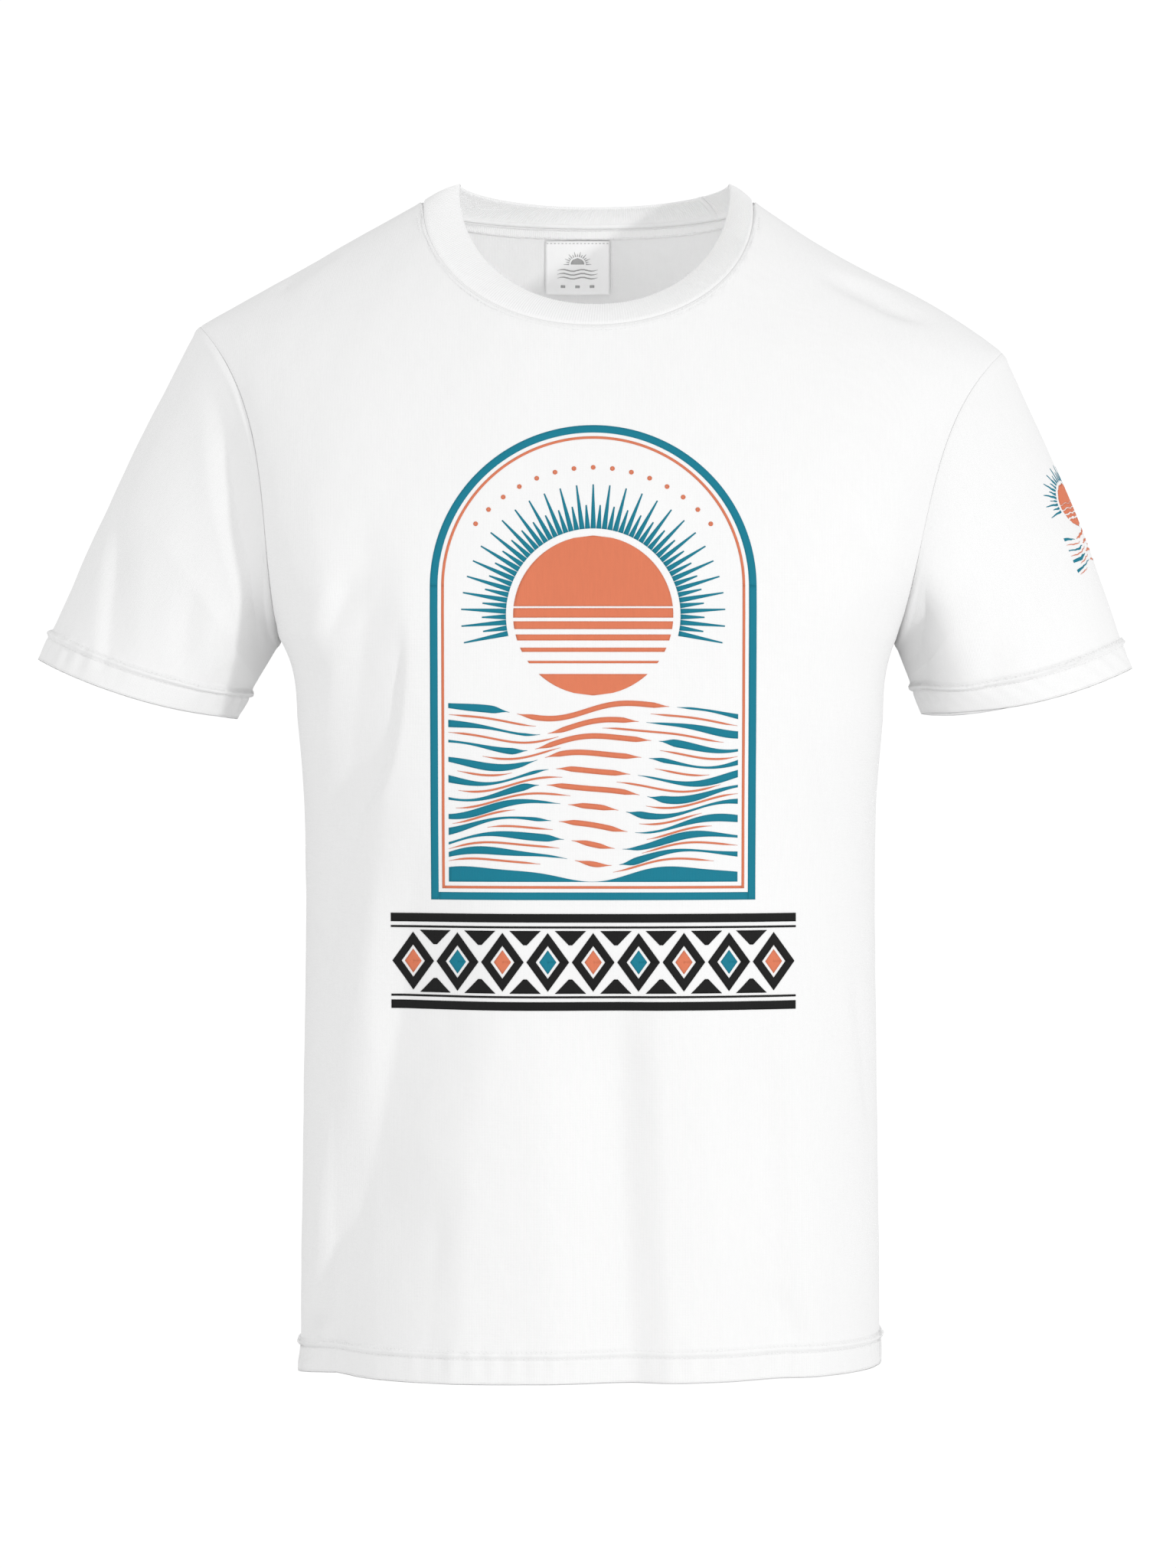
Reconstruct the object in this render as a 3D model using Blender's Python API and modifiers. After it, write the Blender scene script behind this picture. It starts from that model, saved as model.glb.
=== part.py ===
"""A short-sleeved crew-neck T-shirt of cotton jersey, standing open as it does on a wearer.

Frame: metres, +Z up, +X towards the wearer's left, the chest faces -Y.  The origin lies midway
between the high points of the two shoulders, where shoulder seam and collar seam meet.

Each pattern piece is one closed shell: front, back, two sleeves and the rib collar.  Inside them
lie the turned-up hems, the seam allowances, the tapes and the label.  A surface function gives
the outer face of each pattern piece, and every inner piece is offset from the same points.
"""

import math
from collections import namedtuple

import bmesh
import bpy
import numpy as np

# Cloth
CLOTH = 0.0012              # one layer of jersey
RIB = 0.0022                # the collar's folded rib
TAPE = 0.0008               # tapes and seam allowances
LABEL = 0.0006
SEAM_GAP = 0.0006           # between the edges of two pattern pieces, along the cloth
CREST_GAP = 0.0008          # the same on each side of the shoulder seam, where the cloth folds over
LINING_GAP = 0.0004         # between a pattern piece and what is sewn inside it

# Body
HEM_Z = -0.6990             # the hem's edge at the middle
HEM_TILT = 0.0025           # it lies this much higher at the wearer's left side
HEM_SAG = 0.0030            # and this much lower at both sides
HEM_DEPTH = 0.020           # turned-up hem, on the body and on the sleeves
ARMPIT_Z = -0.2645
ARMPIT_FLARE = 0.05         # over this height the sides run out to the armpit
WAIST_ROUNDNESS = 2.4       # exponent of the body's oval; 2 is an ellipse
CHEST_ROUNDNESS = 3.0
WAIST_Z = -0.42             # the oval changes between this height
CHEST_Z = -0.24             # and this one
BODY_Z = (-0.700, -0.620, -0.545, -0.430, -0.350, -0.313)
BODY_HALF_WIDTH = (0.1741, 0.1739, 0.1729, 0.1710, 0.1727, 0.1753)
FRONT_Z = (-0.700, -0.550, -0.400, -0.300, -0.240)
FRONT_DEPTH = (0.124, 0.122, 0.127, 0.134, 0.138)
BACK_Z = (-0.700, -0.450, -0.300, -0.220)
BACK_DEPTH = (0.112, 0.108, 0.116, 0.120)

# Shoulders and neckline
NECK_HALF_WIDTH = 0.100
NECK_ROUNDNESS = 2.1
CREST_RISE = 0.033          # the shoulder lines, carried on over the neck, would meet this high
FRONT_NECK_DROP = 0.083
BACK_NECK_DROP = 0.009
NECK_SHIFT = 0.0025         # the front neckline hangs a little to the wearer's left
ROLL_START = {"front": -0.26, "back": -0.24}    # height where the chest starts to lean back
ROLL_POWER = {"front": 1.5, "back": 1.8}
ARMHOLE_FULLNESS = {"front": 0.60, "back": 0.66}
ARMHOLE_SCOOP = 0.35        # share of the armhole's height taken by its rounded foot

ARMHOLE_PULL = 4            # higher keeps the columns straight nearer to the armhole

# Collar
COLLAR_TOP_HALF_WIDTH = 0.0815
COLLAR_TOP_SHIFT = 0.004
COLLAR_TOP_SIDE_Z = 0.0106
COLLAR_TOP_FRONT = (-0.0745, -0.0695)           # y and z of the top edge at the centre front
COLLAR_TOP_BACK = (0.0465, 0.0022)
COLLAR_FALL = {"front": 2 / NECK_ROUNDNESS, "back": 1.45}   # how early the top edge falls away
COLLAR_ROLL = 0.0012        # how far the rib bulges out between its edges

# Sides: +X is the wearer's left
Side = namedtuple("Side", [
    "name", "sign",
    "ease",                 # added to the body's half width
    "tip",                  # x and z of the shoulder's end, where the armhole seam crosses it
    "armpit_x",
    "lean", "power",        # the armhole seam's run: this share straight, the rest to this power
    "wave",                 # how far the shoulder line dips towards its end
    "cuff_outer", "cuff_inner",     # x and z of the cuff's corners
    "cuff_bow",             # the cuff hangs this much lower between its corners
    "swell", "swell_skew",  # the sleeve's outward curve; under 1 it is fullest near the shoulder
    "valley"])              # the fold in front of the armhole seam
LEFT = Side("left", 1, 0.0013, (0.2505, -0.0915), 0.1845, 0.55, 5.0, 0.030,
            (0.3270, -0.2826), (0.2020, -0.3094), 0.0078, 0.0045, 1.0, 0.002)
RIGHT = Side("right", -1, -0.0013, (0.2345, -0.0755), 0.1850, 0.30, 4.5, 0.0,
             (0.3310, -0.2770), (0.2130, -0.3120), 0.0060, 0.0030, 0.65, 0.010)
CUFF_HALF_DEPTH = 0.054
UNDERARM = 0.05             # length of a sleeve along its underarm, where it doesn't swell
UPPER_SLEEVE = 0.10         # a sleeve swells in full where it is longer than that by this
VALLEY_REACH = 0.5          # share of the sleeve's length that the fold at the armhole takes

# Drapes.  A fold's floor runs along a line of z and x, foot first; its walls are so wide towards
# -X and +X; it is this deep.
Fold = namedtuple("Fold", "floor_z floor_x walls depth")
CENTRE_DRAPE = Fold((-0.70, -0.50), (0.034, 0.030), (0.026, 0.040), 0.0050)
HIP_DRAPE = Fold((-0.70, -0.66, -0.49, -0.38), (-0.142, -0.140, -0.106, -0.098), (0.022, 0.070), 0.0085)
CHEST_DRAPE = Fold((-0.45, -0.36, -0.25), (-0.150, -0.138, -0.112), (0.030, 0.030), 0.0050)
FLANK_DRAPE = Fold((-0.70, -0.48), (0.128, 0.106), (0.030, 0.030), 0.0025)
BLADE_DRAPE_LEFT = Fold((-0.70, -0.36), (0.078, 0.050), (0.045, 0.035), 0.0055)
BLADE_DRAPE_RIGHT = Fold((-0.70, -0.42), (-0.062, -0.080), (0.035, 0.045), 0.0050)
SPINE_DRAPE = Fold((-0.70, -0.52), (0.004, 0.008), (0.030, 0.030), 0.0025)
FOLDS = {"front": (CENTRE_DRAPE, HIP_DRAPE, CHEST_DRAPE, FLANK_DRAPE),
         "back": (BLADE_DRAPE_LEFT, BLADE_DRAPE_RIGHT, SPINE_DRAPE)}
FOLD_FADE = 0.35            # a fold dies out over this share of its height
FOLD_CLEAR = 0.05           # and nearer than this to the side seams

# Label and tapes
TAPE_WIDTH = 0.008
SEAM_FOOT = 0.05            # a side seam's allowance starts this share of a row above the hem
LABEL_WIDTH = 0.040
LABEL_CENTRE_X = -0.0065
LABEL_TOP_Z = -0.016
LABEL_DROP = 0.031          # height of the label, measured upright
LABEL_STAND = 0.0009        # between the label and the tape that it is sewn to

# Mesh density
COLUMNS = 32                # across one body panel; the neckline takes the middle ones
NECK_COLUMNS = 14
LOW_ROWS = 11               # hem line to armpit
ROW_CROWDING = 1.3          # over 1 the rows crowd towards the armpit
HIGH_ROWS = 12              # armpit to shoulder, and so 24 points round a sleeve
SLEEVE_ROWS = 6
NECK_SHARE = NECK_COLUMNS / COLUMNS

WHITE_JERSEY = (0.86, 0.86, 0.87, 1.0)
WHITE_RIB = (0.82, 0.82, 0.83, 1.0)
WHITE_SATIN = (0.92, 0.92, 0.93, 1.0)
WHITE_TWILL = (0.80, 0.80, 0.81, 1.0)


# Curves

def through(knots, values, at):
    """Smooth curve through a few stations, held level beyond the first and the last."""
    knots = np.asarray(knots, float)
    values = np.asarray(values, float)
    slopes = np.gradient(values, knots)
    at = np.clip(at, knots[0], knots[-1])
    i = np.clip(np.searchsorted(knots, at) - 1, 0, len(knots) - 2)
    width = knots[i + 1] - knots[i]
    t = (at - knots[i]) / width
    rise = (2 * t**3 - 3 * t**2 + 1) * values[i] + (3 * t**2 - 2 * t**3) * values[i + 1]
    lean = (t**3 - 2 * t**2 + t) * slopes[i] + (t**3 - t**2) * slopes[i + 1]
    return rise + lean * width


def soften(t):
    """0 to 1 with level ends."""
    t = np.clip(t, 0, 1)
    return t * t * (3 - 2 * t)


def by_side(x, pick):
    """The value of each side of the body, where x falls."""
    return np.where(x >= 0, pick(LEFT), pick(RIGHT))


# Folds

def sink(folds, x, z):
    """How far the cloth sinks in at x, z: each fold deepens from its top to its foot."""
    total = 0
    for fold in folds:
        away = x - np.interp(z, fold.floor_z, fold.floor_x)
        wall = 1 - np.abs(away) / np.where(away < 0, fold.walls[0], fold.walls[1])
        foot, top = fold.floor_z[0], fold.floor_z[-1]
        fade = soften((top - z) / (FOLD_FADE * (top - foot)))
        total = total + fold.depth * fade * soften(wall)
    return total


# Body surface

def roundness(z):
    """Exponent of the body's oval at height z."""
    return WAIST_ROUNDNESS + (CHEST_ROUNDNESS - WAIST_ROUNDNESS) * soften((z - WAIST_Z) / (CHEST_Z - WAIST_Z))


def crest(x):
    """Height of the shoulder line over x."""
    beyond = np.abs(x) - NECK_HALF_WIDTH
    t = beyond / (by_side(x, lambda s: s.tip[0]) - NECK_HALF_WIDTH)
    wave = by_side(x, lambda s: s.wave) * (0.6 + 0.8 * t) * np.sin(2 * math.pi * t)
    shoulder = by_side(x, lambda s: s.tip[1]) * (t + wave)
    over_neck = CREST_RISE * (1 - (x / NECK_HALF_WIDTH)**2)
    return np.where(beyond < 0, over_neck, shoulder)


def armhole_x(x, climb):
    """Distance of the armhole seam from the middle, from the armpit (0) up to the shoulder (1)."""
    lean = by_side(x, lambda s: s.lean)
    share = lean * climb + (1 - lean) * climb**by_side(x, lambda s: s.power)
    foot = by_side(x, lambda s: s.armpit_x)
    return foot + (by_side(x, lambda s: s.tip[0]) - foot) * share


def half_width(face, x, z):
    """Half width of the body's oval at height z; above the armpit it runs on past the seam."""
    armpit = by_side(x, lambda s: s.armpit_x)
    below = through(BODY_Z, BODY_HALF_WIDTH, z) + by_side(x, lambda s: s.ease)
    flare = np.clip(1 - (ARMPIT_Z - z) / ARMPIT_FLARE, 0, 1)**3
    below = below + (armpit - below) * flare
    climb = np.clip((z - ARMPIT_Z) / (by_side(x, lambda s: s.tip[1]) - ARMPIT_Z), 0, 1)
    scoop = 1 - np.clip(climb / ARMHOLE_SCOOP, 0, 1)
    fullness = ARMHOLE_FULLNESS[face] * np.sqrt(1 - scoop**2)
    power = roundness(z)
    above = armhole_x(x, climb) / (1 - fullness**power)**(1 / power)
    return np.where(z < ARMPIT_Z, below, above)


def depth(face, x, z):
    """Distance of the outer face from the plane y = 0, before the folds."""
    if face == "front":
        full = through(FRONT_Z, FRONT_DEPTH, z)
    else:
        full = through(BACK_Z, BACK_DEPTH, z)
    power = roundness(z)
    across = np.clip(np.abs(x) / half_width(face, x, z), 0, 1)
    oval = (1 - across**power)**(1 / power)
    start = ROLL_START[face]
    up = np.clip((z - start) / (crest(x) - start), 0, 1)
    roll = (1 - up**ROLL_POWER[face])**(1 / ROLL_POWER[face])
    return full * oval * roll


def neckline(face, turn):
    """x and z of the collar seam; turn runs from -1 to 1 between the shoulders."""
    angle = turn * math.pi / 2
    drop = FRONT_NECK_DROP if face == "front" else BACK_NECK_DROP
    fall = np.abs(np.cos(angle))**(2 / NECK_ROUNDNESS)
    shift = NECK_SHIFT * fall if face == "front" else 0
    x = np.sign(turn) * NECK_HALF_WIDTH * np.abs(np.sin(angle))**(2 / NECK_ROUNDNESS)
    return x + shift, -drop * fall


def panel_top(face, u):
    """x and z of a body panel's top edge: shoulder seam, neckline, shoulder seam."""
    neck_x, neck_z = neckline(face, np.clip(u / NECK_SHARE, -1, 1))
    out = (np.abs(u) - NECK_SHARE) / (1 - NECK_SHARE)
    reach = by_side(u, lambda s: s.tip[0]) - NECK_HALF_WIDTH
    shoulder_x = np.sign(u) * (NECK_HALF_WIDTH + reach * out)
    in_neck = out < 0
    return np.where(in_neck, neck_x, shoulder_x), np.where(in_neck, neck_z, crest(shoulder_x))


def panel_point(face, u, v):
    """Outer face of a body panel.  u: -1 to 1 across.  v: 0 hem, 1 armpit, 2 shoulder and neck."""
    u = np.asarray(u, float)
    v = np.asarray(v, float)
    low = np.clip(v, 0, 1)
    climb = np.clip(v - 1, 0, 1)
    top_x, top_z = panel_top(face, u)

    hem = HEM_Z + HEM_TILT * u - HEM_SAG * u**2
    z_low = hem + (ARMPIT_Z - hem) * low
    z_high = ARMPIT_Z + (top_z - ARMPIT_Z) * climb
    z = np.where(v < 1, z_low, z_high)

    across = np.sign(u) * np.abs(np.sin(u * math.pi / 2))**(2 / roundness(np.minimum(z, ARMPIT_Z)))
    foot = across * by_side(u, lambda s: s.armpit_x)
    edge = by_side(u, lambda s: s.armpit_x) * (1 - climb) + by_side(u, lambda s: s.tip[0]) * climb
    bend = np.sign(u) * np.abs(u)**ARMHOLE_PULL * (armhole_x(u, climb) - edge)
    x_high = foot * (1 - climb) + top_x * climb + bend
    x_low = across * half_width(face, u, z_low)
    x = np.where(v < 1, x_low, x_high)

    out = depth(face, x, z)
    out = out - sink(FOLDS[face], x, z) * soften(out / FOLD_CLEAR)
    gap = np.where(v > 1, CREST_GAP, SEAM_GAP)
    out = np.maximum(out, gap)
    y = -out if face == "front" else out
    return np.stack([x, y, z], axis=-1)


def panel_rows():
    """The rows of a panel: hem edge, hem line, up to the armpit, then closer near both ends."""
    hem_line = HEM_DEPTH / (ARMPIT_Z - HEM_Z + HEM_SAG / 2)
    rise = 1 - (1 - np.arange(LOW_ROWS) / LOW_ROWS)**ROW_CROWDING
    low = np.concatenate([[0], hem_line + (1 - hem_line) * rise])
    high = 1 + (1 - np.cos(np.linspace(0, math.pi, HIGH_ROWS + 1))) / 2
    return np.concatenate([low, high])


def panel_grid(face):
    u = np.linspace(-1, 1, COLUMNS + 1)
    return panel_point(face, *np.meshgrid(u, panel_rows(), indexing="ij"))


# Sleeve surface

def armhole_point(side, around):
    """The armhole seam: around is 0 at the shoulder, 0.5 at the armpit, 1 at the shoulder again."""
    up = np.abs(1 - 2 * around)
    climb = (1 - np.cos(math.pi * up)) / 2
    u = np.full_like(climb, side.sign)
    front = panel_point("front", u, 1 + climb)
    back = panel_point("back", u, 1 + climb)
    return np.where((around <= 0.5)[..., None], front, back)


def cuff_point(side, around):
    """The sleeve's lower edge, an oval from the outer to the inner corner."""
    outer = np.array([side.sign * side.cuff_outer[0], 0, side.cuff_outer[1]])
    inner = np.array([side.sign * side.cuff_inner[0], 0, side.cuff_inner[1]])
    angle = 2 * math.pi * around
    along = (outer - inner) / 2
    down = np.array([0, 0, -side.cuff_bow])
    centre = (outer + inner) / 2
    depth_axis = np.array([0, -CUFF_HALF_DEPTH, 0])
    return (centre + np.cos(angle)[..., None] * along + np.sin(angle)[..., None] * depth_axis
            + (np.sin(angle)**2)[..., None] * down)


def sleeve_point(side, around, v):
    """Outer face of a sleeve.  v: 0 at the armhole, 1 at the hem line, 2 at the cuff's edge."""
    around = np.asarray(around, float)
    v = np.asarray(v, float)
    start = armhole_point(side, around)
    end = cuff_point(side, around)
    length = np.linalg.norm(end - start, axis=-1)
    hem_line = 1 - HEM_DEPTH / length
    first = SEAM_GAP * 2 / length
    t = np.where(v < 1, first + (hem_line - first) * v, hem_line + (1 - hem_line) * (v - 1))

    angle = 2 * math.pi * around
    radial = np.stack([side.sign * np.cos(angle), -np.sin(angle), np.zeros_like(angle)], axis=-1)
    upper = soften((length - UNDERARM) / UPPER_SLEEVE)
    swell = side.swell * np.sin(math.pi * t**side.swell_skew) * upper
    dent = side.valley * np.sin(angle).clip(0) * np.sin(math.pi * np.clip(t / VALLEY_REACH, 0, 1))
    return start + (end - start) * t[..., None] + radial * (swell - dent)[..., None]


def sleeve_grid(side):
    around = np.arange(2 * HIGH_ROWS) / (2 * HIGH_ROWS)
    v = np.concatenate([np.linspace(0, 1, SLEEVE_ROWS), [2]])
    grid = sleeve_point(side, *np.meshgrid(around, v, indexing="ij"))
    return grid if side.sign > 0 else grid[::-1]


# Collar surface

def collar_grid():
    """Columns once round the neck from the wearer's right, by the front; rows seam, middle, top."""
    steps = np.arange(NECK_COLUMNS) / NECK_COLUMNS * 2 - 1
    seam = []
    top = []
    for face, turn in (("front", steps), ("back", -steps)):
        x, z = neckline(face, turn)
        y = depth(face, x, z)
        y = np.maximum(y, CREST_GAP) if face == "back" else -np.maximum(y, CREST_GAP)
        y = np.where(np.abs(turn) == 1, 0, y)
        seam.append(np.stack([x, y, z], axis=-1))
        top_y, top_z = COLLAR_TOP_FRONT if face == "front" else COLLAR_TOP_BACK
        angle = turn * math.pi / 2
        fall = np.abs(np.cos(angle))**COLLAR_FALL[face]
        sweep = np.sign(turn) * np.abs(np.sin(angle))**(2 / NECK_ROUNDNESS)
        round_neck = np.abs(np.cos(angle))**(2 / NECK_ROUNDNESS)
        top.append(np.stack([COLLAR_TOP_SHIFT + COLLAR_TOP_HALF_WIDTH * sweep, top_y * round_neck,
                             COLLAR_TOP_SIDE_Z + (top_z - COLLAR_TOP_SIDE_Z) * fall], axis=-1))
    seam = np.concatenate(seam)
    top = np.concatenate(top)
    rise = top - seam
    span = np.linalg.norm(rise, axis=-1)[:, None]
    low = seam + rise / span * 2 * SEAM_GAP
    bulge = np.array([0, 0, COLLAR_ROLL])
    return np.stack([low, (low + top) / 2 + bulge, top], axis=1)


# Meshes

def material(name, colour, roughness):
    made = bpy.data.materials.new(name)
    made.use_nodes = True
    shader = made.node_tree.nodes["Principled BSDF"]
    shader.inputs["Base Color"].default_value = colour
    shader.inputs["Roughness"].default_value = roughness
    shader.inputs["Metallic"].default_value = 0
    return made


def cloth(name, grid, closed, thickness, colour, roughness, collection):
    """A grid of points as one quad sheet, given its thickness by Solidify."""
    mesh = bpy.data.meshes.new(name)
    obj = bpy.data.objects.new(name, mesh)
    collection.objects.link(obj)
    build = bmesh.new()
    columns, rows = grid.shape[:2]
    corners = [[build.verts.new(point) for point in column] for column in grid.tolist()]
    for i in range(columns if closed else columns - 1):
        near = corners[i]
        far = corners[(i + 1) % columns]
        for j in range(rows - 1):
            build.faces.new((near[j], far[j], far[j + 1], near[j + 1]))
    build.to_mesh(mesh)
    build.free()
    mesh.shade_smooth()
    mesh.materials.append(material(name, colour, roughness))
    wall = obj.modifiers.new("Cloth thickness", "SOLIDIFY")
    wall.thickness = thickness
    wall.offset = -1
    return obj


def grid_normals(grid, closed):
    """Unit normals of a grid of points, facing as its quads do."""
    if closed:
        across = np.roll(grid, -1, axis=0) - np.roll(grid, 1, axis=0)
    else:
        across = np.gradient(grid, axis=0)
    up = np.gradient(grid, axis=1)
    normal = np.cross(across, up)
    return normal / np.linalg.norm(normal, axis=-1, keepdims=True)


def lined(grid, closed, inset):
    """The grid moved in under its own surface."""
    return grid - grid_normals(grid, closed) * inset


# Pieces

def make_panels(collection):
    front = panel_grid("front")
    back = panel_grid("back")[::-1]
    cloth("front_panel", front, False, CLOTH, WHITE_JERSEY, 0.9, collection)
    cloth("back_panel", back, False, CLOTH, WHITE_JERSEY, 0.9, collection)
    return front, back


def make_sleeve(side, collection):
    grid = sleeve_grid(side)
    cloth("sleeve_" + side.name, grid, True, CLOTH, WHITE_JERSEY, 0.9, collection)
    turning = lined(grid, True, CLOTH + LINING_GAP)[:, -2:]
    cloth("cuff_turning_" + side.name, turning, True, CLOTH, WHITE_JERSEY, 0.9, collection)


def make_hem(front, back, collection):
    """The turned-up hem, one ring inside both panels."""
    ring = np.concatenate([front[:-1, :3], back[:-1, :3]])
    seam = [0, len(front) - 1]
    ring[seam, :, 1] = 0
    inside = lined(ring, True, CLOTH + LINING_GAP)[:, :2]
    cloth("hem_turning", inside, True, CLOTH, WHITE_JERSEY, 0.9, collection)


def make_side_seam(side, back, collection):
    """The overlocked allowance of a side seam, pressed against the back panel."""
    edge, next_in = (0, 1) if side.sign > 0 else (-1, -2)
    rows = slice(1, len(panel_rows()) - HIGH_ROWS - 1)
    seam = back[edge, rows]
    inner = back[next_in, rows]
    width = np.linalg.norm(inner - seam, axis=-1)[:, None]
    strip = [seam + (inner - seam) * share for share in (SEAM_GAP / width, TAPE_WIDTH / width)]
    strip = np.stack(strip if side.sign > 0 else strip[::-1])
    strip[:, 0] += (strip[:, 1] - strip[:, 0]) * SEAM_FOOT
    inside = lined(strip, False, CLOTH + LINING_GAP)
    cloth("side_seam_" + side.name, inside, False, TAPE, WHITE_TWILL, 0.9, collection)


def make_shoulder_tape(side, front, back, collection):
    """The tape that covers a shoulder seam inside, folded over the crest."""
    first = (COLUMNS + NECK_COLUMNS) // 2 + 1
    columns = np.arange(first, COLUMNS)
    if side.sign < 0:
        columns = COLUMNS - columns[::-1]
    crest_line = (front[columns, -1] + back[COLUMNS - columns, -1]) / 2
    to_front = front[columns, -2] - crest_line
    to_back = back[COLUMNS - columns, -2] - crest_line
    half = TAPE_WIDTH / 2
    rows = [crest_line + to_front / np.linalg.norm(to_front, axis=-1)[:, None] * half, crest_line,
            crest_line + to_back / np.linalg.norm(to_back, axis=-1)[:, None] * half]
    strip = np.stack(rows, axis=1)
    inside = lined(strip, False, CLOTH + 2 * LINING_GAP)
    cloth("shoulder_tape_" + side.name, inside, False, TAPE, WHITE_TWILL, 0.9, collection)


def make_neck_tape(back, collection):
    """The tape under the back neckline, from shoulder to shoulder."""
    middle = COLUMNS // 2
    columns = slice(middle - NECK_COLUMNS // 2 + 1, middle + NECK_COLUMNS // 2)
    top = back[columns, -1]
    below = back[columns, -3]
    fall = below - top
    length = np.linalg.norm(fall, axis=-1)[:, None]
    strip = np.stack([top + fall * TAPE_WIDTH / length, top + fall * SEAM_GAP / length], axis=1)
    inside = lined(strip, False, CLOTH + LINING_GAP)
    cloth("neck_tape", inside, False, TAPE, WHITE_TWILL, 0.9, collection)


def make_label(collection):
    """The woven label, hanging inside the back from its top edge."""
    x = LABEL_CENTRE_X + LABEL_WIDTH * np.linspace(0.5, -0.5, 5)
    z = LABEL_TOP_Z - LABEL_DROP * np.linspace(1, 0, 4)
    x, z = np.meshgrid(x, z, indexing="ij")
    y = depth("back", np.full_like(x, LABEL_CENTRE_X), z)
    grid = lined(np.stack([x, y, z], axis=-1), False, CLOTH + LINING_GAP + TAPE + LABEL_STAND)
    cloth("neck_label", grid, False, LABEL, WHITE_SATIN, 0.45, collection)


def main():
    for obj in list(bpy.data.objects):
        bpy.data.objects.remove(obj, do_unlink=True)
    collection = bpy.data.collections.new("t-shirt")
    bpy.context.scene.collection.children.link(collection)

    front, back = make_panels(collection)
    for side in (LEFT, RIGHT):
        make_sleeve(side, collection)
    cloth("collar", collar_grid(), True, RIB, WHITE_RIB, 0.9, collection)
    make_hem(front, back, collection)
    for side in (LEFT, RIGHT):
        make_side_seam(side, back, collection)
        make_shoulder_tape(side, front, back, collection)
    make_neck_tape(back, collection)
    make_label(collection)


main()
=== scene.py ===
import math
from collections import namedtuple

import bpy
import numpy as np
from mathutils import Matrix, Vector
from mathutils.bvhtree import BVHTree


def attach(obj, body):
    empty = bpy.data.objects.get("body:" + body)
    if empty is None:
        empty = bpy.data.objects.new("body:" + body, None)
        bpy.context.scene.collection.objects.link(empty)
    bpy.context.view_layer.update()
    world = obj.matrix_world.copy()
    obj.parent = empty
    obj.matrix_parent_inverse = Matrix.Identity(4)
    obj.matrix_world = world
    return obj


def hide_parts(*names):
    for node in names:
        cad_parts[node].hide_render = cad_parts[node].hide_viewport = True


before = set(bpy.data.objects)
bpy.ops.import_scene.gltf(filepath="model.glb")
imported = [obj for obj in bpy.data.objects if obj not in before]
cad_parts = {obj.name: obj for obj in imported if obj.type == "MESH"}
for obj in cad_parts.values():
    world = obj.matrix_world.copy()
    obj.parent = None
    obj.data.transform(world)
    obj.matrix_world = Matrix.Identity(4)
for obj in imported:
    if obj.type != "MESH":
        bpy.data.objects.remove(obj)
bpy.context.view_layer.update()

# Cloth
CLOTH = 0.0008              # one layer of jersey
SEAM_ALLOWANCE = 0.008
HEM_DEPTH = 0.020           # turned-up hem, on the body and on the sleeves
HEM_FOLD = 0.0010           # radius of the hem's folded edge
HEM_OVERLAP = 0.0015        # the turned-up cloth runs so far past the hem's depth
HEM_NEEDLES = (0.0148, 0.0195)      # the two needle rows, measured up from the hem's edge
NECK_NEEDLES = (0.0018, 0.0046)     # and down from the collar seam
SEAM_TURN = 0.0020          # the edges of the pattern pieces turn in so far along a seam
LINING_GAP = 0.0002         # between a pattern piece and what is sewn inside it
TAPE = 0.0006
TAPE_WIDTH = 0.008
LABEL = 0.0004
LABEL_WIDTH = 0.040
LABEL_CENTRE_X = -0.0065
LABEL_TOP_Z = -0.016
LABEL_DROP = 0.031          # height of the label, measured upright
LABEL_HEIGHT = 0.036        # and along the cloth
LABEL_GAP = 0.0008          # it lies so far off the neck tape at its top edge,
LABEL_HANG = 0.0012         # hangs this much further off at its foot,
LABEL_CURL = (0.0005, 7)    # and curls across: height, and radians in half its width
LABEL_GRID = (25, 20)

# Body
HEM_Z = -0.6990             # the hem's edge at the middle
HEM_TILT = 0.0025           # it lies this much higher at the wearer's left side
HEM_SAG = 0.0030            # and this much lower at both sides
ARMPIT_Z = -0.2645
ARMPIT_FLARE = 0.05         # over this height the sides run out to the armpit
WAIST_ROUNDNESS = 2.4       # exponent of the body's oval; 2 is an ellipse
CHEST_ROUNDNESS = 3.6
WAIST_Z = -0.42             # the oval changes between this height
CHEST_Z = -0.24             # and this one
BODY_Z = (-0.700, -0.620, -0.545, -0.430, -0.350, -0.313)
BODY_HALF_WIDTH = (0.1741, 0.1739, 0.1729, 0.1710, 0.1727, 0.1753)
FRONT_Z = (-0.700, -0.550, -0.400, -0.300, -0.240)
FRONT_DEPTH = (0.124, 0.122, 0.127, 0.134, 0.138)
BACK_Z = (-0.700, -0.450, -0.300, -0.220)
BACK_DEPTH = (0.112, 0.108, 0.116, 0.120)

# Shoulders and neckline
NECK_HALF_WIDTH = 0.100
NECK_ROUNDNESS = 2.1
CREST_RISE = 0.033          # the shoulder lines, carried on over the neck, would meet this high
CREST_WAVE = (0.6, 0.8)     # a shoulder line's dip: its share near the neck, and what it gains outwards
CREST_SMOOTHING = np.linspace(-0.045, 0.045, 9)
CREST_REACH = 0.05
FRONT_NECK_DROP = 0.083
BACK_NECK_DROP = 0.009
NECK_SHIFT = 0.0025         # the front neckline hangs a little to the wearer's left
ROLL_START = {"front": -0.26, "back": -0.24}    # height where the chest starts to lean back
ROLL_POWER = {"front": 1.5, "back": 1.8}
ARMHOLE_FULLNESS = {"front": 0.64, "back": 0.66}
ARMHOLE_SCOOP = 0.35        # share of the armhole's height taken by its rounded foot
ARMHOLE_PULL = 4            # higher keeps the columns straight nearer to the armhole
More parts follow.
